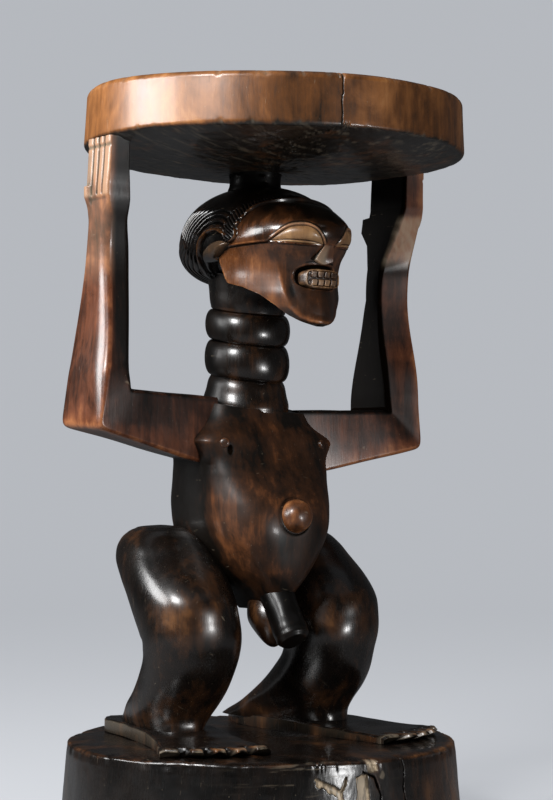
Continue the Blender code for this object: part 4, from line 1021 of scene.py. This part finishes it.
def build_nose():
    """A wedge with a flat front that widens from the bridge to the nostrils."""
    share = np.linspace(0.0, 1.0, 60)[:, None]
    s = np.linspace(-1.0, 1.0, 81)[None, :]
    x = (3.2 + 7.3 * share**1.1) * MM * s
    bottom = NOSE_BOTTOM - 4.4 * (1 - np.abs(s) ** 1.6)
    z = (NOSE_TOP + (bottom - NOSE_TOP) * share) * MM
    base = face_y(np.zeros_like(z), z)
    reach = (0.6 + 3.2 * share) * MM
    slope = np.clip((np.abs(s) - 0.72) / 0.28, 0, 1) ** 1.1
    middle = MIDLINE - 0.0010
    y = base + 0.004 - (reach + 0.004) * (1 - slope) + 0.0004 * bump(s, 0, 0.3)
    front = np.stack([x + middle, y, z], axis=-1)
    under = front[-1:] + np.array([0.0, 0.0008, -0.0004])
    tucked = front[-1:].copy()
    tucked[..., 0] = middle + 0.92 * (tucked[..., 0] - middle)
    tucked[..., 1] = base[-1:] + 0.005
    tucked[..., 2] += 0.0012
    front = np.concatenate([front, under, tucked])
    back = front[:, 1:-1][:, ::-1].copy()
    back[..., 1] = face_y(np.zeros(back.shape[:2]), back[..., 2]) + 0.007
    grid = np.concatenate([front, back], axis=1)
    flank, lit = np.zeros((2, *grid.shape[:2]))
    flank[:, : front.shape[1]] = smooth(0.70, 0.80, np.abs(s))
    lit[:, : front.shape[1]] = smooth(0.35, -0.15, s)
    # Painted light and shade: the sides of the nose are painted dark and dull as shade, and the side towards
    # the lamps and the front towards the tip are painted lighter and paler as a highlight
    tone = 0.10 + 0.10 * lit - 0.55 * flank
    bare = 0.46 * lit * (1 - flank) * smooth(0.0, 0.7, np.linspace(0, 1, len(grid)))[:, None]
    loft("nose", grid, BROWN, tone=tone, bare=bare, soot_and_shade_more=1.1 * flank)


def build_teeth():
    """The open mouth's block: a lip bead round two rows of four teeth."""
    u = np.linspace(-1, 1, 141)[None, :]
    v = np.linspace(-1, 1, 85)[:, None]
    x = TEETH_HALF_WIDTH * u * np.sqrt(1 - 0.34 * v**4)
    z = TEETH_HEIGHT + TEETH_HALF_HEIGHT * v * np.sqrt(1 - 0.40 * u**4)
    edge = np.minimum(TEETH_HALF_WIDTH * (1 - np.abs(u)), TEETH_HALF_HEIGHT * (1 - np.abs(v)))
    bead = bump(edge, 1.2, 0.8)
    crooked = x + 0.30 * np.sin(z * 0.9) + 0.25 * np.sin(z * 0.4 + x * 0.3)
    tooth = np.abs(((crooked + 2 * TOOTH_WIDTH) / TOOTH_WIDTH) % 1.0 - 0.5) * TOOTH_WIDTH
    in_x = smooth(2.35, 1.75, tooth) * smooth(11.8, 11.0, np.abs(x))
    upper = window(z, 398.2, 398.8, 402.3, 403.0)
    lower = window(z, 392.2, 392.9, 396.6, 397.2)
    tooth = in_x * np.maximum(upper, lower)
    rough = cloud(x * 0.35, z * 0.35, 131, 2) - 0.5
    amount = 1.1 * bead + 1.5 * tooth + 0.25 * rough - 1.6 * smooth(1.2, 0.0, edge) ** 2
    y = (-63.2 - amount + 0.008 * x**2) * MM
    grid = np.stack([x * MM + MIDLINE, y, z * MM], axis=-1)
    gaps = smooth(2.2, 2.9, edge) * (1 - tooth)
    tone = 0.02 * tooth * upper + 0.22 * tooth * lower + 0.20 * bead - 0.30 + 0.5 * rough - 0.45 * gaps
    bare = 0.07 * tooth * lower + 0.14 * bead * smooth(-0.7, -0.9, u)
    plate("teeth", grid, (0.0, 0.013, 0.0), PALE, tone=tone, bare=bare)


HEAD = (
    # place along the head, half width, underside and top
    (-0.0500, 0.0410, 0.3900, 0.4505),
    (-0.0360, 0.0470, 0.3900, 0.4570),
    (-0.0220, 0.0504, 0.3909, 0.4630),
    (0.0000, 0.0525, 0.3955, 0.4690),
    (0.0200, 0.0530, 0.3980, 0.4702),
    (0.0400, 0.0509, 0.3990, 0.4682),
    (0.0600, 0.0424, 0.4000, 0.4622),
    (0.0722, 0.0302, 0.4048, 0.4533),
    (0.0801, 0.0150, 0.4160, 0.4412),
    (0.0828, 0.0060, 0.4220, 0.4345),
)
HEAD_AXIS, HEAD_WIDEST, HEAD_END, HEAD_SQUARENESS = 0.430, 0.4245, 0.0826, 2.15
# Height and place along the head
HAIRLINE = (
    (0.3850, -0.0120), (0.3990, -0.0080), (0.4100, -0.0030), (0.4137, -0.0018), (0.4184, -0.0082),
    (0.4216, -0.0140), (0.4245, -0.0210), (0.4360, -0.0235), (0.4460, -0.0275), (0.4520, -0.0320),
    (0.4560, -0.0400), (0.4620, -0.0450),
)
# Lines of the ear in millimetres: place along the head, above the floor
EAR_RIM = (
    (-15.5, 429.4), (-11.0, 432.0), (-4.6, 434.4), (4.0, 434.0), (10.0, 431.2), (14.5, 427.0), (16.4, 421.5),
    (18.5, 416.5), (22.0, 411.8), (26.5, 407.4), (33.0, 403.4),
)
EAR_TAB_TOP = (
    (-23, 422.8), (-10.2, 425.8), (-0.4, 424.6), (6.0, 421.8), (10.8, 418.2), (13.8, 413.0), (15.5, 409.0),
)
EAR_MIDDLE = (4.0, 415.5)
# Distances between the combed lines at the hairline and between the arcs round the ears
COMB_PITCH, ARC_PITCH = 2.7, 4.6
HAIR_LIFT = 0.0013
# Depth of the hollow below the ear, in millimetres
HOLLOW_DEPTH = 9.0


def head_section(y):
    """Half width, underside, top and widest height of the head at places along it."""
    half_width, low, high = columns(HEAD, y)
    return half_width, low, high, np.clip(HEAD_WIDEST, low + 0.3 * (high - low), low + 0.7 * (high - low))


def ear_path(count):
    """Even steps along the ear's rim, in millimetres."""
    numbers = np.arange(len(EAR_RIM))
    steps = np.linspace(0, len(EAR_RIM) - 1, count)
    return np.stack([curve(numbers, values, steps) for values in np.array(EAR_RIM).T], axis=-1)


def in_hollow(y, z):
    """Whether places on the head's side, in millimetres, lie in the hollow below the ear."""
    return smooth(0.5, -0.5, y - 13.5 - 1.5 * (411.2 - z)) * window(z, 397.6, 399.2, 410.6, 411.6)


def build_coiffure(face_grid):
    """Hair combed back from a raised hairline, with grooves that run round the ears."""
    skin = ring_faces(numbered(*face_grid.shape[:2]))
    skin = BVHTree.FromPolygons(face_grid.reshape(-1, 3).tolist(), skin)
    angle = turns(410)

    def reach_at(y):
        """Distance of the head's side from its long axis, in each direction round it."""
        half_width, low, high, middle = head_section(y)
        across, up = outline(angle, half_width, low, high, middle, HEAD_SQUARENESS)
        way = np.arctan2(up - HEAD_AXIS, across) % FULL_TURN
        order = np.argsort(way)
        return np.interp(angle, way[order], np.hypot(across, up - HEAD_AXIS)[order], period=FULL_TURN)

    table = np.linspace(-0.05, HEAD_END, 200)
    reaches = np.array([reach_at(level) for level in table])
    directions = np.arange(len(angle))

    def reach_of(y):
        place = (np.clip(y, table[0], table[-1]) - table[0]) / (table[1] - table[0])
        low = np.clip(place.astype(int), 0, len(table) - 2)
        part = place - low
        return reaches[low, directions] * (1 - part) + reaches[low + 1, directions] * part

    # Where the hairline crosses each direction
    start = np.full(len(angle), -0.02)
    for _ in range(40):
        start = 0.5 * start + 0.5 * line(HAIRLINE, HEAD_AXIS + reach_of(start) * np.sin(angle))
    start = (np.roll(start, 1) + 2 * start + np.roll(start, -1)) / 4
    share = np.concatenate([np.zeros(3), np.linspace(0, 0.25, 84), np.linspace(0.254, 1.0, 150)])
    y = start[None, :] + share[:, None] * (HEAD_END - start[None, :])
    reach = np.array([reach_of(row) for row in y])

    # In front of the ears the hair lies on the skin of the face
    far_off = 0.09
    for row, col in np.argwhere((y < -0.012) & (np.sin(angle) > -0.20)):
        way = Vector((math.cos(angle[col]), 0.0, math.sin(angle[col])))
        hit = skin.ray_cast(Vector((0.0, y[row, col], HEAD_AXIS)) + way * far_off, -way)
        if hit[0] is not None:
            on_skin = far_off - hit[3] + 0.0002
            lift = float(smooth(-0.012, -0.024, y[row, col]))
            reach[row, col] += lift * (on_skin - reach[row, col])
    reach = reach + HAIR_LIFT
    grid = np.stack([reach * np.cos(angle), y, HEAD_AXIS + reach * np.sin(angle)], axis=-1)
    x, z = grid[..., 0], grid[..., 2]
    behind = (y - start[None, :]) / MM
    y_mm, z_mm = y / MM, z / MM

    # Distance outside the ear's rim
    path = ear_path(60)
    apart = np.hypot(y_mm[..., None] - path[:, 0], z_mm[..., None] - path[:, 1])
    nearest = np.hypot(path[:, 0] - EAR_MIDDLE[0], path[:, 1] - EAR_MIDDLE[1])[apart.argmin(axis=-1)]
    outside = np.hypot(y_mm - EAR_MIDDLE[0], z_mm - EAR_MIDDLE[1]) > nearest
    from_ear = np.where(outside, 1.0, -1.0) * apart.min(axis=-1)

    # The raised hairline, the comb lines behind it and the arcs round the ears
    upper = smooth(0.4205, 0.4245, z)
    rim = bump(behind, 1.0, 1.2) * smooth(0.4170, 0.4215, z)
    step = np.linalg.norm(np.roll(grid[3], -1, axis=0) - grid[3], axis=-1) / MM
    along_line = np.cumsum(step)[None, :]
    ragged = 1.5 * np.sin(along_line * 0.9) + np.sin(along_line * 2.3)
    comb_zone = smooth(1.6, 2.4, behind) * smooth(13.0, 9.5, behind + ragged) * upper
    slant = 0.85 * np.cos(angle)[None, :] * behind
    comb = bump(np.abs((along_line - slant) / COMB_PITCH % 1.0 - 0.5) * 2, 0, 0.48)
    arcs_zone = smooth(1.2, 2.2, from_ear) * (1 - comb_zone) * smooth(0.456, 0.443, z - 0.12 * (y - 0.02))
    wobble = 0.10 * ripple(grid, 0.02, 43)
    arcs = 1 - bump(np.abs((from_ear / ARC_PITCH + 0.5 + wobble) % 1.0 - 0.5) * 2, 0, 0.45)
    hollow = in_hollow(y_mm, z_mm) * smooth(0.020, 0.030, np.abs(x))
    dish = smooth(-0.5, -2.5, from_ear) * smooth(-22.0, -16.0, y_mm) * (1 - comb_zone)
    amount = 0.9 * rim - 1.3 * comb_zone * comb + arcs_zone * (2.1 * arcs - 2.1)
    amount = (amount - 2.2 * dish) * (1 - hollow) - HOLLOW_DEPTH * hollow
    amount = amount - 0.7 * bump(behind, 2.5, 0.6) * upper
    amount[0], amount[1], amount[2] = -6.0, -3.0, amount[3]
    amount = amount + 0.15 * ripple(grid, 0.02, 47)
    out = grid - np.stack([0 * x, y, np.full_like(y, HEAD_AXIS)], axis=-1)
    out /= np.linalg.norm(out, axis=-1, keepdims=True)
    steep = smooth(0.055, 0.080, y)[..., None]
    ways = normals(grid, True) * steep + out * (1 - steep)
    # The raised lines are painted lighter, partly as wear and partly as a painted highlight
    lines = comb_zone * (1 - comb) + arcs_zone * arcs
    # Painted shade: the hollow below the ear is painted dark and dull
    tone = -0.30 + 0.40 * rim - 0.5 * hollow + 0.16 * lines - 0.2 * dish + 0.18 * comb_zone * (1 - comb)
    loft(
        "coiffure",
        grid + ways * (amount * MM)[..., None],
        DARK,
        tone=tone,
        wear=0.4,
        soot_and_shade_more=comb_zone * (0.25 + 0.55 * comb) + hollow,
        shine=0.8 * (1 - comb_zone),
    )


def build_ear(name, side):
    """A C-shaped rim round a leaf-like tab that hangs over the hollow behind the jaw."""
    y, z = np.meshgrid(np.linspace(-23, 38, 200), np.linspace(397, 438, 150))
    half_width, low, high, middle = head_section(y * MM)
    height = z * MM
    rise = np.where(height > middle, (height - middle) / (high - middle), (middle - height) / (middle - low))
    skin = half_width / MM * (1 - np.clip(rise, 0, 0.985) ** HEAD_SQUARENESS) ** (1 / HEAD_SQUARENESS)
    skin = skin + HAIR_LIFT / MM - 4.0 * smooth(-12.0, -22.0, y)
    path = ear_path(160)
    apart = np.hypot(y[..., None] - path[:, 0], z[..., None] - path[:, 1])
    place = apart.argmin(axis=-1) / (len(path) - 1)
    width = 1.9 - 0.8 * smooth(0.6, 1.0, place) - 0.8 * smooth(0.15, 0.0, place)
    rim = np.sqrt(np.clip(1 - (apart.min(axis=-1) / width) ** 2, 0, 1))
    room = np.minimum.reduce([line(EAR_TAB_TOP, y) - z, z - 411.0, y - jaw_edge(z) + 1.0])
    tab = smooth(0.0, 0.5, room) * (y < EAR_TAB_TOP[-1][0])
    deep = in_hollow(y - 2.0, z - 0.8)
    x = skin - 4.6 - HOLLOW_DEPTH * deep
    x = x + tab * (skin - 1.0 + 3.2 * (1 - np.exp(-np.maximum(room, 0) / 1.8)) - x)
    x = np.maximum(x, skin - 2.6 + 4.2 * rim - HOLLOW_DEPTH * (rim == 0))
    grid = np.stack([side * x * MM, y * MM, z * MM], axis=-1)
    # Painted light and shade: the upper part of the tab is painted lighter and paler as a highlight, and the
    # hollow is painted dark as shade
    lit = tab * smooth(413, 419, z)
    tone = -0.12 + 0.14 * rim + 0.22 * lit - 0.5 * deep
    marks = {"tone": tone, "bare": 0.07 * lit, "shine": 1.2 * np.maximum(rim, tab)}
    marks = {mark: values[:, ::-side] for mark, values in marks.items()}
    plate(name, grid[:, ::-side], (-side * 0.006, 0.0, 0.0), DARK, **marks)


def build_post():
    """The short post between head and seat."""
    levels = np.linspace(0.4600, 0.4900, 30)
    radius = 0.0195 + 0.0016 * smooth(0.478, 0.486, levels) + 0.0012 * smooth(0.474, 0.468, levels)
    grid = disc(np.stack([radius, levels], axis=-1), turns(120))
    grid[..., 1] += 0.024
    # Painted shade: the post is painted black and dull, as it stands in the seat's shadow
    loft("head_post", rippled(grid, 0.0004, 0.012, 53), DARK, tone=-0.6, soot_and_shade_more=1.0)


# Arms

def slab(corner_steps, side_steps, rounding):
    """Across and along places round a rounded square from -0.5 to 0.5.

    They run from the outer front by the outer back and the inner back to the inner front.
    """
    inset = 0.5 - rounding
    middles = ((inset, -inset, -90), (inset, inset, 0), (-inset, inset, 90), (-inset, -inset, 180))
    points = []
    for k, (across, along, start) in enumerate(middles):
        for step in range(corner_steps):
            a = math.radians(start + 90 * step / (corner_steps - 1))
            points.append((across + rounding * math.cos(a), along + rounding * math.sin(a)))
        after = middles[(k + 1) % 4]
        a = math.radians(start + 90)
        first = np.array(points[-1])
        last = np.array([after[0] + rounding * math.cos(a), after[1] + rounding * math.sin(a)])
        points += [tuple(first + (last - first) * step / side_steps) for step in range(1, side_steps)]
    return np.array(points)


# Height, outer and inner side, outer and inner front, outer and inner back, all in millimetres
FOREARM_RIGHT = (
    (350, 140.5, 115.0, 1.0, 3.0, 52.5, 48.5),
    (385, 138.2, 113.2, 6.0, 9.0, 46.5, 37.5),
    (405, 137.6, 113.0, 8.5, 11.0, 42.0, 33.5),
    (420, 138.2, 114.2, 8.0, 9.5, 38.0, 37.0),
    (433, 139.4, 117.0, 5.0, 6.0, 34.0, 42.5),
    (444, 140.6, 119.8, 1.0, 1.5, 31.5, 48.5),
    (451, 141.2, 121.5, -0.8, -0.8, 30.5, 54.0),
    (460.8, 142.0, 122.8, -2.2, -2.2, 29.5, 55.2),
    (461.4, 142.0, 122.9, -2.3, -2.3, 29.4, 46.0),
    (466.0, 142.0, 123.6, -2.9, -2.9, 29.0, 44.6),
    (494.2, 140.6, 124.6, -3.2, -3.2, 29.0, 44.0),
)
FOREARM_LEFT = (
    (323, 143.5, 116.9, -0.5, 7.4, 54.0, 57.0),
    (346, 140.7, 115.2, 2.7, 11.0, 51.0, 49.0),
    (361, 139.8, 114.2, 4.8, 13.4, 49.5, 43.8),
    (374, 138.8, 113.7, 6.6, 15.0, 48.0, 39.4),
    (394, 137.9, 113.1, 10.0, 16.3, 44.5, 33.4),
    (419, 138.1, 114.1, 9.9, 17.0, 38.5, 35.0),
    (438.3, 140.2, 118.2, 5.0, 7.7, 33.0, 42.5),
    (449.6, 141.1, 121.2, 1.8, 4.0, 31.0, 54.4),
    (458.0, 142.0, 122.9, -1.0, 1.2, 29.5, 55.0),
    (460.8, 142.0, 123.3, -1.6, 0.5, 29.4, 55.2),
    (461.4, 142.0, 123.4, -1.7, 0.3, 29.4, 46.2),
    (466.0, 142.0, 124.1, -2.4, -0.5, 29.0, 45.6),
    (494.2, 140.6, 124.6, -2.6, -0.3, 29.0, 45.6),
)
# Inner and outer front, inner and outer back of each elbow, in millimetres
ELBOW_RIGHT, ELBOW_LEFT = (-3.0, -5.5, 52.5, 53.5), (5.5, -3.0, 59.0, 57.0)
ELBOW_OUTER, ELBOW_INNER = 0.1462, 0.1176
SHOULDER_ASIDE = 0.036
CRISP_SLAB, SOFT_SLAB = slab(13, 30, 0.055), slab(13, 30, 0.36)
FINGER_COUNT = 4


def arm_ring(inner_front, inner_back, outer_back, outer_front, rounding=0.0):
    """A rounded four-cornered section of an arm through its corners."""
    corners = [np.array(c, float) for c in (inner_front, inner_back, outer_back, outer_front)]
    around = CRISP_SLAB * (1 - rounding) + SOFT_SLAB * rounding + 0.5
    across, along = around[:, :1], around[:, 1:]
    front = corners[0] * (1 - across) + corners[3] * across
    back = corners[1] * (1 - across) + corners[2] * across
    return front * (1 - along) + back * along


def arm_shape(side):
    """Rings of points along an arm from shoulder to hand, bent at the elbow, before the fingers are cut."""
    level = SHOULDER - side * SHOULDER_SLOPE * 0.055
    elbow = SHOULDER + (-0.004 if side > 0 else 0.005)
    top, low = level - 0.002, level - 0.050
    shoulder = arm_ring(
        (SHOULDER_ASIDE, 0.013, top),
        (SHOULDER_ASIDE, 0.054, top),
        (SHOULDER_ASIDE, 0.054, low),
        (SHOULDER_ASIDE, 0.0125, low - 0.0042),
    )
    outer, inner = ELBOW_OUTER, ELBOW_INNER
    front_in, front_out, back_in, back_out = ELBOW_RIGHT if side < 0 else ELBOW_LEFT
    mitre = arm_ring(
        (inner, front_in * MM, elbow),
        (inner, back_in * MM, elbow),
        (outer, back_out * MM, elbow - 0.0265),
        (outer, front_out * MM, elbow - 0.0295),
        0.15,
    )
    share = np.linspace(0, 1, 90)[:, None, None]
    upper = shoulder * (1 - share) + mitre * share

    levels = np.linspace(elbow + 0.012, 0.4942, 236)
    start = np.array([[elbow / MM - 6, outer / MM, inner / MM, front_out + 1, front_in, back_out, back_in]])
    table = np.concatenate([start, FOREARM_RIGHT if side < 0 else FOREARM_LEFT]) * MM
    straight = [np.interp(levels, table[:, 0], table[:, k]) for k in range(1, 7)]
    # The left forearm is cut in flats with softened ends, the right one swells smoothly
    if side > 0:
        reach = np.where(levels < 0.432, 0.011, 0.0012)[:, None]
        weights = bump(levels[:, None], levels[None, :], reach)
        weights /= weights.sum(axis=1, keepdims=True)
        sides = [weights @ values for values in straight[:5]] + straight[5:]
    else:
        sides = columns(table, levels)[:5] + straight[5:]
    softest = 0.60 if side < 0 else 0.0
    rounding = 0.12 + softest * (smooth(0.298, 0.335, levels) - smooth(0.435, 0.452, levels))
    forearm = []
    for z, softness, out, into, front_out, front_in, back_out, back_in in zip(levels, rounding, *sides):
        corners = ((into, front_in, z), (into, back_in, z), (out, back_out, z), (out, front_out, z))
        forearm.append(arm_ring(*corners, softness))
    forearm = np.array(forearm)
    share = np.linspace(0, 1, 26)[1:-1, None, None]
    bend = mitre * (1 - share) + forearm[:1] * share
    grid = np.concatenate([upper, bend, forearm])

    # The elbow is softened along the arm, most of all across its front
    count = len(upper)
    for before, after, part, times in ((45, 70, 1, 260), (12, 34, 0, 14), (12, 34, 2, 14)):
        first, last = count - before, count + after
        for _ in range(times):
            block = grid[first:last, :, part]
            grid[first + 1 : last - 1, :, part] = 0.25 * block[:-2] + 0.5 * block[1:-1] + 0.25 * block[2:]
    grid[..., 0] *= side
    return grid


def build_arm(name, side, nodes):
    """An arm from shoulder to hand in one bent slab, with fingers under the seat's rim."""
    grid = arm_shape(side)
    across, along = (CRISP_SLAB + 0.5).T[:, None, :]
    z = grid[..., 2]

    # Fingers on the outer face
    on_outer = smooth(0.95, 1.0, across) * np.ones_like(z)
    finger = along * FINGER_COUNT
    gap = np.abs(finger - np.clip(np.round(finger), 1, FINGER_COUNT - 1))
    groove = bump(gap, 0, 0.12) * smooth(0.4525, 0.4550, z) * on_outer
    palm = smooth(0.4500, 0.4540, z) * on_outer
    knuckle = bump(z, 0.4880, 0.0012) * on_outer
    tip = smooth(0.4875, 0.4890, z) * on_outer * (1 - bump(gap, 0, 0.25))
    amount = 0.0005 * ripple(grid, 0.030, 59 + side)
    amount = amount - 0.0012 * groove + 0.0007 * palm - 0.0006 * knuckle + 0.0005 * tip
    if side < 0:
        thumb = smooth(0.80, 0.90, along) * smooth(0.4612, 0.4604, z) * smooth(0.4440, 0.4530, z)
        amount = amount + 0.0020 * thumb * on_outer
    grid = raised(grid, amount)

    # Colour of the faces: the outer faces painted lighter as lit, the inner faces painted darker as shade,
    # and the hand paler, partly as wear and partly as a painted highlight
    hand = smooth(0.452, 0.456, z)
    blotch = cloud(along * 2.2 + 5 * side, z * 36, 141, 5)
    forearm = smooth(0.325, 0.36, z)
    outer_face = smooth(0.6, 0.98, across)
    inner_face = smooth(0.10, 0.02, across)
    tone = -0.06 + 0.55 * (blotch - 0.5) * (1 - 0.4 * outer_face)
    tone = tone + 0.28 * outer_face + 0.16 * outer_face * bump(z, 0.292, 0.012) - 0.35 * inner_face
    # The hand is paler, partly as worn wood and partly as a painted highlight
    tone = tone + 0.14 * hand * on_outer
    if side < 0:
        front = smooth(0.5, 0.02, along) * (1 - outer_face)
        tone = tone - 0.10 * (1 - forearm) - forearm * front * (0.20 + 0.25 * smooth(0.425, 0.445, z))
        tone = tone - 0.14 * outer_face * smooth(0.41, 0.37, z)
        soot_and_shade = 0.5 * forearm * front * smooth(0.450, 0.415, z)
        # Painted highlight: pale wood on the upper outer face of the right forearm
        bare = 0.10 * outer_face * smooth(0.385, 0.410, z)
    else:
        # A facet below the hand, painted pale both as worn wood and as a painted highlight
        front = smooth(0.07, 0.03, along)
        facet = window(z, 0.416, 0.430, 0.454, 0.462) * smooth(0.10, 0.02, along)
        bend = smooth(0.108, 0.126, np.abs(grid[..., 0])) * smooth(0.376, 0.340, z) * front
        tone = tone + 0.20 * (1 - forearm) + 0.32 * forearm * front + 0.25 * bend
        tone = tone + 0.55 * (blotch - 0.5) * forearm * front + 0.40 * facet
        calm = 0.40 * (1 - facet) + 0.55 * bump(z, 0.4180, 0.0075)
        # The inner face is also darkened and dulled as painted shade
        soot_and_shade = 0.8 * inner_face + 0.7 * bend + forearm * front * calm
        scratched = smooth(0.35, 0.65, cloud(across * 5 + z * 190, z * 45 - across * 2, 211, 3))
        bare = facet * (0.20 + 0.28 * scratched)
    loft(
        name,
        grid,
        RED,
        nodes,
        tone=tone,
        soot_and_shade_more=0.5 * groove + 0.4 * knuckle + soot_and_shade,
        # The palm's pale wood is partly wear and partly a painted highlight
        wear_more=0.30 * palm * (1 - groove),
        shine=0.5 * outer_face,
        bare=np.maximum(0.32 * palm * (1 - groove) * smooth(0.2, 0.5, blotch), bare),
    )


# Stage

FLOOR_COLOUR = (0.20, 0.204, 0.212, 1.0)
FLOOR_GLOW = (0.43, 0.447, 0.478, 1.0)
WORLD_COLOUR, WORLD_STRENGTH = (0.90, 0.94, 1.0, 1.0), 0.19


def build_stage():
    """A pale floor that curves up into a round backdrop."""
    flat, bend = 2.4, 1.4
    profile = [(0.01, 0.0)] + [(r, 0.0) for r in np.linspace(0.3, flat, 8)]
    for a in np.linspace(0.1, math.pi / 2, 14):
        profile.append((flat + bend * math.sin(a), bend - bend * math.cos(a)))
    profile += [(3.8, 2.4), (3.8, 5.0)]
    grid = disc(profile, turns(96))
    index = numbered(*grid.shape[:2])
    mesh = bpy.data.meshes.new("floor")
    mesh.from_pydata(grid.reshape(-1, 3).tolist(), [], ring_faces(index) + [index[0].tolist()])
    mesh.shade_smooth()
    floor = bpy.data.objects.new("floor", mesh)
    bpy.context.scene.collection.objects.link(floor)
    material = bpy.data.materials.new("pale_floor")
    material.use_nodes = True
    tree = material.node_tree
    shader = tree.nodes["Principled BSDF"]
    shader.inputs["Base Color"].default_value = FLOOR_COLOUR
    shader.inputs["Roughness"].default_value = 0.9
    shader.inputs["Emission Color"].default_value = FLOOR_GLOW
    path = tree.nodes.new("ShaderNodeLightPath")
    tree.links.new(path.outputs["Is Camera Ray"], shader.inputs["Emission Strength"])
    mesh.materials.append(material)


AHEAD = Vector((math.sin(SHOWN_TURN), math.cos(SHOWN_TURN), 0.0))
RIGHT = Vector((math.cos(SHOWN_TURN), -math.sin(SHOWN_TURN), 0.0))
UP = Vector((0.0, 0.0, 1.0))
# The picture's height and the camera's focal length in pixels, and how far the middle lies off its aim
PICTURE_HEIGHT, FOCAL, OFF_RIGHT, OFF_UP = 800.0, 2100.0, 15.5, 72.0
CAMERA_DISTANCE, CAMERA_HEIGHT, SENSOR = 1.560, 0.258, 36.0


def place_camera():
    """A camera at the photograph's angle, for an image of 553 by 800 pixels."""
    aim, tilt = math.atan(OFF_RIGHT / FOCAL), math.atan(OFF_UP / FOCAL)
    level = math.cos(aim) * AHEAD + math.sin(aim) * RIGHT
    side = math.cos(aim) * RIGHT - math.sin(aim) * AHEAD
    look = math.cos(tilt) * level + math.sin(tilt) * UP
    top = math.cos(tilt) * UP - math.sin(tilt) * level
    pose = Matrix((side, top, -look)).transposed().to_4x4()
    pose.translation = CAMERA_HEIGHT * UP - CAMERA_DISTANCE * AHEAD
    data = bpy.data.cameras.new("camera")
    data.sensor_fit = "AUTO"
    data.sensor_width = SENSOR
    data.lens = SENSOR * FOCAL / PICTURE_HEIGHT
    data.clip_end = 50.0
    camera = bpy.data.objects.new("camera", data)
    camera.matrix_world = pose
    bpy.context.scene.collection.objects.link(camera)
    bpy.context.scene.camera = camera


def add_light(name, azimuth, elevation, distance, size, power, aim_height=0.30, spread_degrees=180):
    """A soft rectangular lamp, placed by its angle from the camera's own direction."""
    turn, rise = math.radians(azimuth), math.radians(elevation)
    way = math.cos(rise) * (math.sin(turn) * RIGHT - math.cos(turn) * AHEAD) + math.sin(rise) * UP
    data = bpy.data.lights.new(name, "AREA")
    data.shape = "RECTANGLE"
    data.size, data.size_y = size
    data.energy = power
    data.spread = math.radians(spread_degrees)
    lamp = bpy.data.objects.new(name, data)
    lamp.location = aim_height * UP + way * distance
    lamp.rotation_euler = (-way).to_track_quat("-Z", "Y").to_euler()
    lamp.visible_camera = False
    bpy.context.scene.collection.objects.link(lamp)


def light():
    add_light("key", -38, 35, 1.7, (0.46, 0.46), 32.0)
    add_light("left", -75, 16, 1.35, (0.80, 0.50), 9.8, aim_height=0.45, spread_degrees=120)
    add_light("right", 47, -6, 1.5, (0.26, 0.18), 1.6, spread_degrees=80)
    world = bpy.data.worlds.new("studio")
    bpy.context.scene.world = world
    world.use_nodes = True
    background = world.node_tree.nodes["Background"]
    background.inputs["Color"].default_value = WORLD_COLOUR
    background.inputs["Strength"].default_value = WORLD_STRENGTH


def main():
    bpy.context.scene.view_settings.view_transform = "Standard"
    place_camera()
    light()
    build_stage()
    build_base()
    build_seat()
    for name, side in (("left", 1), ("right", -1)):
        build_foot("foot_" + name, side)
        build_leg("leg_" + name, side, ["shin_" + name, "thigh_" + name])
        build_arm("arm_" + name, side, ["upper_arm_" + name, "forearm_" + name, "hand_" + name])
        build_eye("eye_" + name, side)
        build_ear("ear_" + name, side)
    build_torso()
    build_chest_details()
    build_groin()
    build_neck()
    face_grid = build_face()
    build_nose()
    build_teeth()
    build_coiffure(face_grid)
    build_post()


main()
